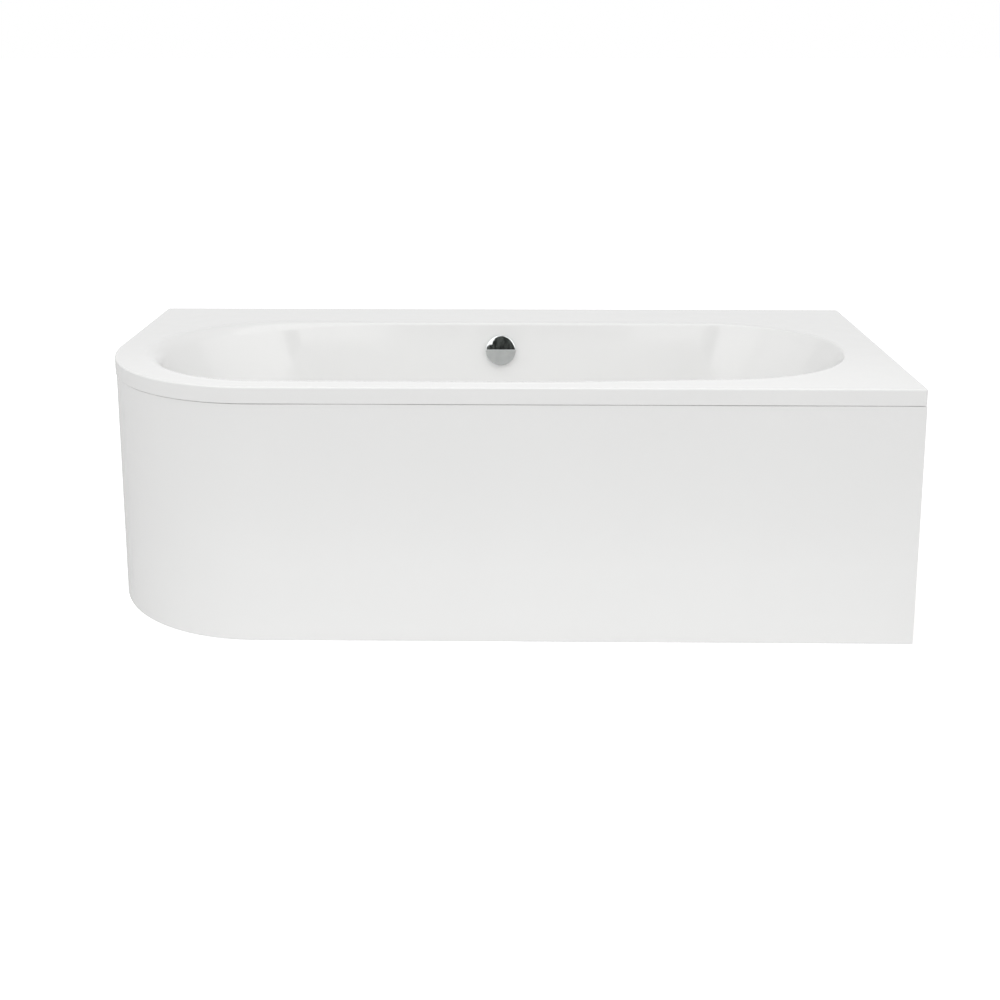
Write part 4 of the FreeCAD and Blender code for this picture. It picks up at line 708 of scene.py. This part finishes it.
def apron_panel():
    """The J-shaped front panel, a little uneven, as a moulding is."""
    top = LIP_FOOT - PANEL_GAP
    near, far = PANEL_INSET, PANEL_INSET + PANEL_SHEET
    behind, under = far + PANEL_REBATE, top - PANEL_SHEET
    face = [
        (near, 0), (near, top / 3), (near, top * 2 / 3), (near, top),
        (behind, top), (behind, under), (far, under - PANEL_REBATE),
        (far, PANEL_SHEET), (far + FLANGE, PANEL_SHEET), (far + FLANGE, 0)]
    radii = [1.5 * MM, 0, 0, 1.6 * MM, 0, 0, 0, 2 * MM, 1 * MM, 1 * MM]
    tongue_far = TONGUE_INSET + PANEL_SHEET
    tongue = [
        (TONGUE_INSET, under), (TONGUE_INSET, top + TONGUE),
        (tongue_far, top + TONGUE), (tongue_far, under)]
    bm = bmesh.new()
    sweep_panel(bm, rounded(face, radii), 0.0)
    sweep_panel(bm, rounded(tongue, [0, 1 * MM, 1 * MM, 2 * MM]), TONGUE_INSET)
    mesh = to_mesh("front_panel_mesh", bm)
    return piece("front_panel", mesh, "panel_acrylic", "apron_panel", sharp=40)


# ------------------------------------------------------------------ overflow knob
KNOB_RADIUS, KNOB_BACK, KNOB_FRONT = 36 * MM, 1.5 * MM, 15.5 * MM
KNOB_WALL, KNOB_EDGE, KNOB_BACK_EDGE = 2 * MM, 1.5 * MM, 0.4 * MM
KNOB_SIDES, KNOB_EDGE_STEPS, KNOB_FACE_RINGS = 144, 6, 12
KNOB_HOLLOW = [                                 # its inside, as (radius, z)
    (KNOB_RADIUS - KNOB_WALL, 12.5 * MM), (18 * MM, 12.5 * MM), (18 * MM, 5 * MM),
    (5 * MM, 5 * MM), (5 * MM, 9 * MM)]
BAR_HALF, BAR_STEP, BAR_SLOPE = 1.2 * MM, 0.45 * MM, 0.35 * MM
FACET_DROP, DOME = 1.2 * MM, 0.8 * MM
FACET_START, FACET_BLEND = 3.1 * MM, 1.6 * MM   # how deep under the face the facets fade out


def knob_side_and_face():
    """The cap's outside, as (radius, z), from its back edge to near its middle."""
    r, edge = KNOB_RADIUS, KNOB_EDGE
    profile = [(r - KNOB_WALL, KNOB_BACK), (r - KNOB_BACK_EDGE, KNOB_BACK)]
    profile += [(r, KNOB_BACK + KNOB_BACK_EDGE), (r, KNOB_FRONT - 2 * edge)]
    profile.append((r, KNOB_FRONT - edge))
    for k in range(1, KNOB_EDGE_STEPS + 1):
        angle = math.radians(90 * k / KNOB_EDGE_STEPS)
        inset, drop = edge * (1 - math.cos(angle)), edge * (1 - math.sin(angle))
        profile.append((r - inset, KNOB_FRONT - drop))
    for k in range(KNOB_FACE_RINGS - 1, 0, -1):
        profile.append(((r - edge) * k / KNOB_FACE_RINGS, KNOB_FRONT))
    return profile


def lower_facets(bm):
    """Lowers the cap's face on both sides of its bar, and domes it a little."""
    start = KNOB_FRONT - FACET_START
    for vert in bm.verts:
        if vert.co.z > start:
            beyond = max(0.0, abs(vert.co.y) - BAR_HALF)
            fall = FACET_DROP * beyond / (KNOB_RADIUS - BAR_HALF)
            fall += DOME * vert.co.xy.length_squared / KNOB_RADIUS ** 2
            fall += BAR_STEP * min(1.0, beyond / BAR_SLOPE)
            vert.co.z -= fall * min(1.0, (vert.co.z - start) / FACET_BLEND)


def knob():
    """The turning cap: a dished chrome disc with a fine bar across it."""
    bm = bmesh.new()
    loops = [circle(radius, z, KNOB_SIDES) for radius, z in knob_side_and_face()]
    rows = skin_loops(bm, loops)
    bm.faces.new(rows[-1])
    outer = rows[0]
    for radius, z in KNOB_HOLLOW:
        inner = [bm.verts.new(point) for point in circle(radius, z, KNOB_SIDES)]
        bridge(bm, inner, outer)
        outer = inner
    bm.faces.new(list(reversed(outer)))
    for offset in (-BAR_HALF - BAR_SLOPE, -BAR_HALF, BAR_HALF, BAR_HALF + BAR_SLOPE):
        geometry = list(bm.verts) + list(bm.edges) + list(bm.faces)
        bmesh.ops.bisect_plane(
            bm, geom=geometry, plane_co=(0, offset, 0), plane_no=(0, 1, 0), dist=1e-7)
    lower_facets(bm)
    mesh = to_mesh("knob_mesh", bm, OVERFLOW)
    return piece("overflow_turning_cap", mesh, "chrome", "overflow_knob", "overflow_knob", sharp=28)


# ------------------------------------------------------------------ waste kit and feet
def upright(direction):
    """Two directions square to a run's direction."""
    side = Vector((1, 0, 0)) if abs(direction.x) < 0.9 else Vector((0, 1, 0))
    side = (side - direction * side.dot(direction)).normalized()
    return side, direction.cross(side)


def bent_path(points, radius, step):
    """Points and directions along straight runs joined by round bends, a step apart."""
    runs = []
    at = points[0]
    for before, corner, after in zip(points, points[1:], points[2:]):
        a, b = (corner - before).normalized(), (after - corner).normalized()
        turn = a.angle(b)
        reach = radius * math.tan(turn / 2)
        runs.append(("line", at, corner - a * reach))
        runs.append(("bend", corner - a * reach, a, (b - a * a.dot(b)).normalized(), turn))
        at = corner + b * reach
    runs.append(("line", at, points[-1]))
    made = []
    for run in runs:
        if run[0] == "line":
            length = (run[2] - run[1]).length
            count = max(1, round(length / step))
            along = (run[2] - run[1]).normalized()
            made += [(run[1].lerp(run[2], k / count), along) for k in range(count)]
        else:
            start, a, inward, turn = run[1:]
            count = max(1, round(radius * turn / step))
            for k in range(count):
                t = turn * k / count
                place = start + a * radius * math.sin(t) + inward * radius * (1 - math.cos(t))
                made.append((place, a * math.cos(t) + inward * math.sin(t)))
    made.append((points[-1], (points[-1] - at).normalized()))
    return made


HOSE_START = (0, -45 * MM, -32 * MM)            # in the overflow's own frame
HOSE_END = (0, 97 * MM, 85 * MM)
HOSE_RADIUS, HOSE_BORE, HOSE_BEND = 15.95 * MM, 13.6 * MM, 50 * MM
HOSE_SIDES, HOSE_STEP = 40, 0.9 * MM
RIB_DEPTH, RIB_PITCH = 1.9 * MM, 5 * MM
PLAIN_START, PLAIN_RINGS = 12 * MM, 14          # its ends have no ribs, where the nuts hold it
BORE_EVERY = 6                                  # the bore has one ring for so many outside


def ribbed_hose():
    """The corrugated overflow hose, from the overflow's port to the drain's."""
    start = OVERFLOW @ Vector(HOSE_START)
    corner = start + DOWN_THE_WALL * ((start.z - HOSE_END[2]) / -DOWN_THE_WALL.z)
    path = bent_path([start, corner, Vector(HOSE_END)], HOSE_BEND, HOSE_STEP)
    loops, run = [], 0.0
    for k, (place, along) in enumerate(path):
        if k:
            run += (place - path[k - 1][0]).length
        radius = HOSE_RADIUS
        if run >= PLAIN_START and k <= len(path) - PLAIN_RINGS:
            share = 0.5 + 0.5 * math.cos(2 * math.pi * run / RIB_PITCH)
            radius -= RIB_DEPTH * (1 - share ** 0.6)
        side, up = upright(along)
        loops.append([place + (side * math.cos(a) + up * math.sin(a)) * radius
                      for a in (2 * math.pi * i / HOSE_SIDES for i in range(HOSE_SIDES))])
    bore = []
    for k in list(range(0, len(path) - 1, BORE_EVERY)) + [len(path) - 1]:
        place = path[k][0]
        bore.append([place + (point - place).normalized() * HOSE_BORE for point in loops[k]])
    bm = bmesh.new()
    outside, inside = skin_loops(bm, loops), skin_loops(bm, bore)
    bridge(bm, outside[0], inside[0])
    bridge(bm, outside[-1], inside[-1])
    mesh = to_mesh("ribbed_hose_mesh", bm)
    return piece("ribbed_overflow_hose", mesh, "hose_plastic", "overflow_hose", sharp=60)


GRIP_EDGE, GROOVE_DEPTH, SIDES_PER_RIB = 0.8 * MM, 0.9 * MM, 8
GROOVE_FOOT, GROOVE_TOP = (2.6 * MM, 3.0 * MM), (2.6 * MM, 2.2 * MM)  # from foot, from top
GROOVED = (4, 5)                                # the outline's points that the grooves cut


def grip_ring(name, node, foot, along, length, outer, bore, ribs, lid=0.0):
    """A moulded nut or cap with grip ribs; lid closes its far end with that thickness."""
    side, up = upright(along)
    turn = Matrix((side, up, along)).transposed().to_4x4()
    turn.translation = foot
    edge = GRIP_EDGE
    outline = [(bore, 0), (outer - edge, 0), (outer, edge)]
    outline += [(outer, z) for z in GROOVE_FOOT] + [(outer, length - z) for z in GROOVE_TOP]
    outline += [(outer, length - edge), (outer - edge, length)]
    if lid:
        outline += [(0.4 * outer, length), (0.0, length), (0.0, length - lid)]
    outline.append((bore, length - lid))

    def ripple(angle, i):
        if i not in GROOVED:
            return 0.0
        return -GROOVE_DEPTH * (0.5 - 0.5 * math.cos(ribs * angle)) ** 0.5

    mesh = lathe(name + "_mesh", outline, turn, ribs * SIDES_PER_RIB, ripple)
    return piece(name, mesh, "nut_plastic", node, sharp=32)


def grip_rings():
    """The hose nuts, the outlet's union nut and the trap's lid."""
    back, up = Vector((0, 1, 0)), Vector((0, 0, 1))
    hose_nut = (18 * MM, 20.5 * MM, 16.05 * MM, 20)
    place = OVERFLOW @ Vector((0, -43 * MM, -32 * MM))
    grip_ring("upper_hose_nut", "hose_nut_upper", place, DOWN_THE_WALL, *hose_nut)
    place = Vector((0, 95 * MM, 85 * MM))
    grip_ring("lower_hose_nut", "hose_nut_lower", place, back, *hose_nut)
    place = Vector((110 * MM, 117 * MM, 66 * MM))
    union_nut = (22 * MM, 27 * MM, 20.55 * MM, 26)
    grip_ring("outlet_union_nut", "outlet_nut", place, back, *union_nut)
    place = Vector((110 * MM, 50 * MM, 95 * MM))
    screw_lid = (10 * MM, 51 * MM, 48.02 * MM, 40, 5 * MM)
    grip_ring("trap_screw_lid", "trap_lid", place, up, *screw_lid)


STUD_RADIUS, STUD_CHAMFER, STUD_SIDES = 6 * MM, 1 * MM, 18
THREAD_PITCH, THREAD_DEPTH, THREAD_STEPS = 1.75 * MM, 0.62 * MM, 6
COLLAR_RADIUS, COLLAR_FOOT, COLLAR_HEIGHT = 10.9 * MM, 16.5 * MM, 8 * MM
COLLAR_INSET, COLLAR_CHAMFER = 0.7 * MM, 0.6 * MM


def threaded_stud(name):
    """A levelling stud with a rolled thread and its hexagonal collar."""
    low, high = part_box("foot_stud_" + name)
    x, y = (low.x + high.x) / 2, (low.y + high.y) / 2
    count = int((high.z - low.z) / (THREAD_PITCH / THREAD_STEPS))
    bm = bmesh.new()
    loops = []
    for k in range(count + 1):
        z = low.z + (high.z - low.z) * k / count
        taper = max(0.0, z - (high.z - STUD_CHAMFER)) + max(0.0, low.z + STUD_CHAMFER - z)
        loop = []
        for i in range(STUD_SIDES):
            phase = (z / THREAD_PITCH - i / STUD_SIDES) % 1.0
            cut = THREAD_DEPTH * abs(2 * phase - 1)
            radius = STUD_RADIUS - max(cut, taper)
            angle = 2 * math.pi * i / STUD_SIDES
            loop.append(Vector((x + radius * math.cos(angle), y + radius * math.sin(angle), z)))
        loops.append(loop)
    cap_ends(bm, skin_loops(bm, loops))
    collar(bm, x, y)
    mesh = to_mesh("stud_" + name + "_mesh", bm)
    body = NODES["foot_stud_" + name].parent.name.split(":", 1)[1]
    return piece("threaded_stud_" + name, mesh, "zinc_fixings", "foot_stud_" + name, body, sharp=30)


def collar(bm, x, y):
    """The hexagon that takes the spanner, with chamfered corners."""
    foot, top = COLLAR_FOOT, COLLAR_FOOT + COLLAR_HEIGHT
    profile = [
        (COLLAR_RADIUS - COLLAR_INSET, foot), (COLLAR_RADIUS, foot + COLLAR_CHAMFER),
        (COLLAR_RADIUS, top - COLLAR_CHAMFER), (COLLAR_RADIUS - COLLAR_INSET, top)]
    cap_ends(bm, skin_loops(bm, [circle(radius, z, 6, x, y) for radius, z in profile]))


# ------------------------------------------------------------------ carried-over nodes
FEET = ("front_left", "front_right", "back_left", "back_right", "centre")
CUT_OR_FOLDED = ("softwood", "chipboard", "galvanised_steel", "magnet_block")
CROSS_GRAIN = {                                 # pieces of softwood that don't lie along X
    "rim_batten_left": SOFTWOOD_Y, "rim_batten_right": SOFTWOOD_Y, "panel_stiffeners": SOFTWOOD_Z}
FINE_EDGE = 0.6 * MM


def dress_nodes():
    """Gives every carried-over node its finish and, where it is cut or folded, a fine edge."""
    for name, obj in NODES.items():
        slot = SLOT_OF[name]
        obj.data.materials.clear()
        obj.data.materials.append(CROSS_GRAIN.get(name, FINISH[slot]))
        if slot in CUT_OR_FOLDED:
            bevel = obj.modifiers.new("edges", "BEVEL")
            bevel.width = FINE_EDGE
            bevel.segments = 2
            bevel.limit_method = "ANGLE"
            bevel.angle_limit = math.radians(50)
            bevel.harden_normals = True


# ------------------------------------------------------------------ stage, light, camera
FLOOR_COLOUR, FLOOR_GLOW = (0.85, 0.85, 0.85, 1), 0.55
FLOOR_HALF, FLOOR_DROP = 60.0, 0.2 * MM
SKY = 0.475                                     # its strength on the object; 1 as it is seen
WHITE_LIGHT = (1, 1, 1, 1)


def floor_material():
    """A pale floor that shows as white where it is fully lit, and keeps the bath's shadow."""
    material = bpy.data.materials.new("floor_mat")
    material.use_nodes = True
    tree = material.node_tree
    tree.nodes.clear()
    out = tree.nodes.new("ShaderNodeOutputMaterial")
    diffuse = tree.nodes.new("ShaderNodeBsdfDiffuse")
    diffuse.inputs["Color"].default_value = FLOOR_COLOUR
    glow = tree.nodes.new("ShaderNodeEmission")
    glow.inputs["Color"].default_value = WHITE_LIGHT
    seen = tree.nodes.new("ShaderNodeLightPath")
    share = tree.nodes.new("ShaderNodeMath")
    share.operation = "MULTIPLY"
    share.inputs[1].default_value = FLOOR_GLOW
    tree.links.new(seen.outputs["Is Camera Ray"], share.inputs[0])
    tree.links.new(share.outputs[0], glow.inputs["Strength"])
    both = tree.nodes.new("ShaderNodeAddShader")
    tree.links.new(diffuse.outputs[0], both.inputs[0])
    tree.links.new(glow.outputs[0], both.inputs[1])
    tree.links.new(both.outputs[0], out.inputs["Surface"])
    return material


def stage():
    """The floor."""
    bm = bmesh.new()
    bmesh.ops.create_grid(bm, x_segments=4, y_segments=4, size=FLOOR_HALF)
    mesh = to_mesh("floor_mesh", bm)
    floor = bpy.data.objects.new("floor", mesh)
    bpy.context.scene.collection.objects.link(floor)
    mesh.materials.append(floor_material())
    floor.location.z = -FLOOR_DROP


def sky():
    """An even white surround, brighter to the camera than on the object."""
    world = bpy.data.worlds.new("surround")
    bpy.context.scene.world = world
    world.use_nodes = True
    tree = world.node_tree
    tree.nodes.clear()
    out = tree.nodes.new("ShaderNodeOutputWorld")
    lit = tree.nodes.new("ShaderNodeBackground")
    lit.inputs["Color"].default_value = WHITE_LIGHT
    lit.inputs["Strength"].default_value = SKY
    seen = tree.nodes.new("ShaderNodeBackground")
    seen.inputs["Color"].default_value = WHITE_LIGHT
    seen.inputs["Strength"].default_value = 1.0
    path = tree.nodes.new("ShaderNodeLightPath")
    most = tree.nodes.new("ShaderNodeMath")
    most.operation = "MAXIMUM"
    more = tree.nodes.new("ShaderNodeMath")
    more.operation = "MAXIMUM"
    tree.links.new(path.outputs["Is Camera Ray"], most.inputs[0])
    tree.links.new(path.outputs["Is Glossy Ray"], most.inputs[1])
    tree.links.new(most.outputs[0], more.inputs[0])
    tree.links.new(path.outputs["Is Transmission Ray"], more.inputs[1])
    mix = tree.nodes.new("ShaderNodeMixShader")
    tree.links.new(more.outputs[0], mix.inputs[0])
    tree.links.new(lit.outputs[0], mix.inputs[1])
    tree.links.new(seen.outputs[0], mix.inputs[2])
    tree.links.new(mix.outputs[0], out.inputs["Surface"])


def sun(name, direction, strength, spread):
    """A broad, soft lamp that shines along a direction."""
    data = bpy.data.lights.new(name, "SUN")
    data.energy = strength
    data.angle = math.radians(spread)
    lamp = bpy.data.objects.new(name, data)
    bpy.context.scene.collection.objects.link(lamp)
    lamp.rotation_euler = Vector(direction).to_track_quat("-Z", "Y").to_euler()


def strip(name, place, length, width, aim, power):
    """An oblong lamp along X, seen neither by the camera nor in the gloss."""
    data = bpy.data.lights.new(name, "AREA")
    data.shape = "RECTANGLE"
    data.size, data.size_y = length, width
    data.energy = power
    lamp = bpy.data.objects.new(name, data)
    bpy.context.scene.collection.objects.link(lamp)
    lamp.location = place
    lamp.rotation_euler = Vector(aim).to_track_quat("-Z", "Y").to_euler()
    lamp.visible_camera = False
    lamp.visible_glossy = False


# name, direction, strength, spread in degrees
SUNS = [
    ("high", (0.05, 0.75, -0.85), 1.08, 90),
    ("right", (-0.9, 0.35, -0.3), 0.36, 60),
    ("side", (1.0, 0.05, -0.15), 0.30, 60),
]
# name, place, length, width, direction, power
STRIPS = [
    ("over", (0.0, FRONT, 0.95), 2.0, 0.2, (0, 0, -1), 1.15),
    ("low", (0.1, FRONT - 0.4, 0.02), 3.0, 0.06, (0, 1, 0.15), 0.50),
    ("bounce", (-0.02, BASIN_Y, 0.20), 1.0, 0.25, (0, 0.5, 0.86), 0.28),
]
CARD_OUTLINE = [                                # across and up, in shares of its size
    (-1.3, -0.6), (-1.3, 0.26), (-0.95, 0.33), (-0.62, 0.37), (-0.57, 0.62), (-0.50, 0.66),
    (-0.46, 0.90), (-0.38, 0.94), (-0.33, 1.12), (-0.16, 1.13), (-0.02, 1.30), (0.06, 1.18),
    (0.16, 1.20), (0.30, 1.04), (0.44, 1.00), (0.52, 0.84), (0.60, 0.82), (0.64, 0.58),
    (0.71, 0.54), (0.74, 0.38), (0.84, 0.34), (0.88, 0.22), (1.3, 0.16), (1.3, -0.6)]
CARD_HALF, CARD_FOOT, CARD_RISE, CARD_Y = 0.54, 1.11, 0.50, -4.2


def dark_card():
    """A dark, uneven card behind the camera, seen only in the chrome, as a room is."""
    bm = bmesh.new()
    corners = [(u * CARD_HALF, CARD_Y, CARD_FOOT + CARD_RISE * h) for u, h in CARD_OUTLINE]
    bm.faces.new([bm.verts.new(corner) for corner in corners])
    card = bpy.data.objects.new("dark_card", to_mesh("dark_card_mesh", bm))
    bpy.context.scene.collection.objects.link(card)
    s = Shader("card_mat", 0.9)
    streak = s.noise(1.0, 4.0, 0.6, s.stretched((9.0, 1.0, 2.5)))
    s.colour(s.ramp(streak, [(0.40, (0.012, 0.014, 0.012)), (0.62, (0.13, 0.14, 0.13))]))
    card.data.materials.append(s.material)
    card.visible_camera = False
    card.visible_diffuse = False
    card.visible_shadow = False


CAMERA_PLACE = (0.0386, -2.8676, 1.2287)
CAMERA_PITCH, CAMERA_YAW, CAMERA_SHIFT = 0.18713, -0.01328, -0.22
FOCAL_PIXELS, PHOTO_PIXELS = 1303.7, 1000


def camera():
    """The photograph's view: a camera at 1.2 m, looking a little down."""
    data = bpy.data.cameras.new("camera")
    data.sensor_width = 36.0
    data.lens = FOCAL_PIXELS / PHOTO_PIXELS * data.sensor_width
    data.shift_y = CAMERA_SHIFT
    data.clip_end = 200
    cam = bpy.data.objects.new("camera", data)
    bpy.context.scene.collection.objects.link(cam)
    cam.location = CAMERA_PLACE
    cam.rotation_euler = (math.pi / 2 - CAMERA_PITCH, 0, -CAMERA_YAW)
    bpy.context.scene.camera = cam


# ------------------------------------------------------------------ assembly
camera()
stage()
sky()
for lamp in SUNS:
    sun(*lamp)
for lamp in STRIPS:
    strip(*lamp)
dark_card()
dress_nodes()
bath_shell()
reinforcement()
apron_panel()
knob()
ribbed_hose()
grip_rings()
for foot in FEET:
    threaded_stud(foot)

bpy.context.scene.view_settings.view_transform = "Standard"
bpy.context.view_layer.update()
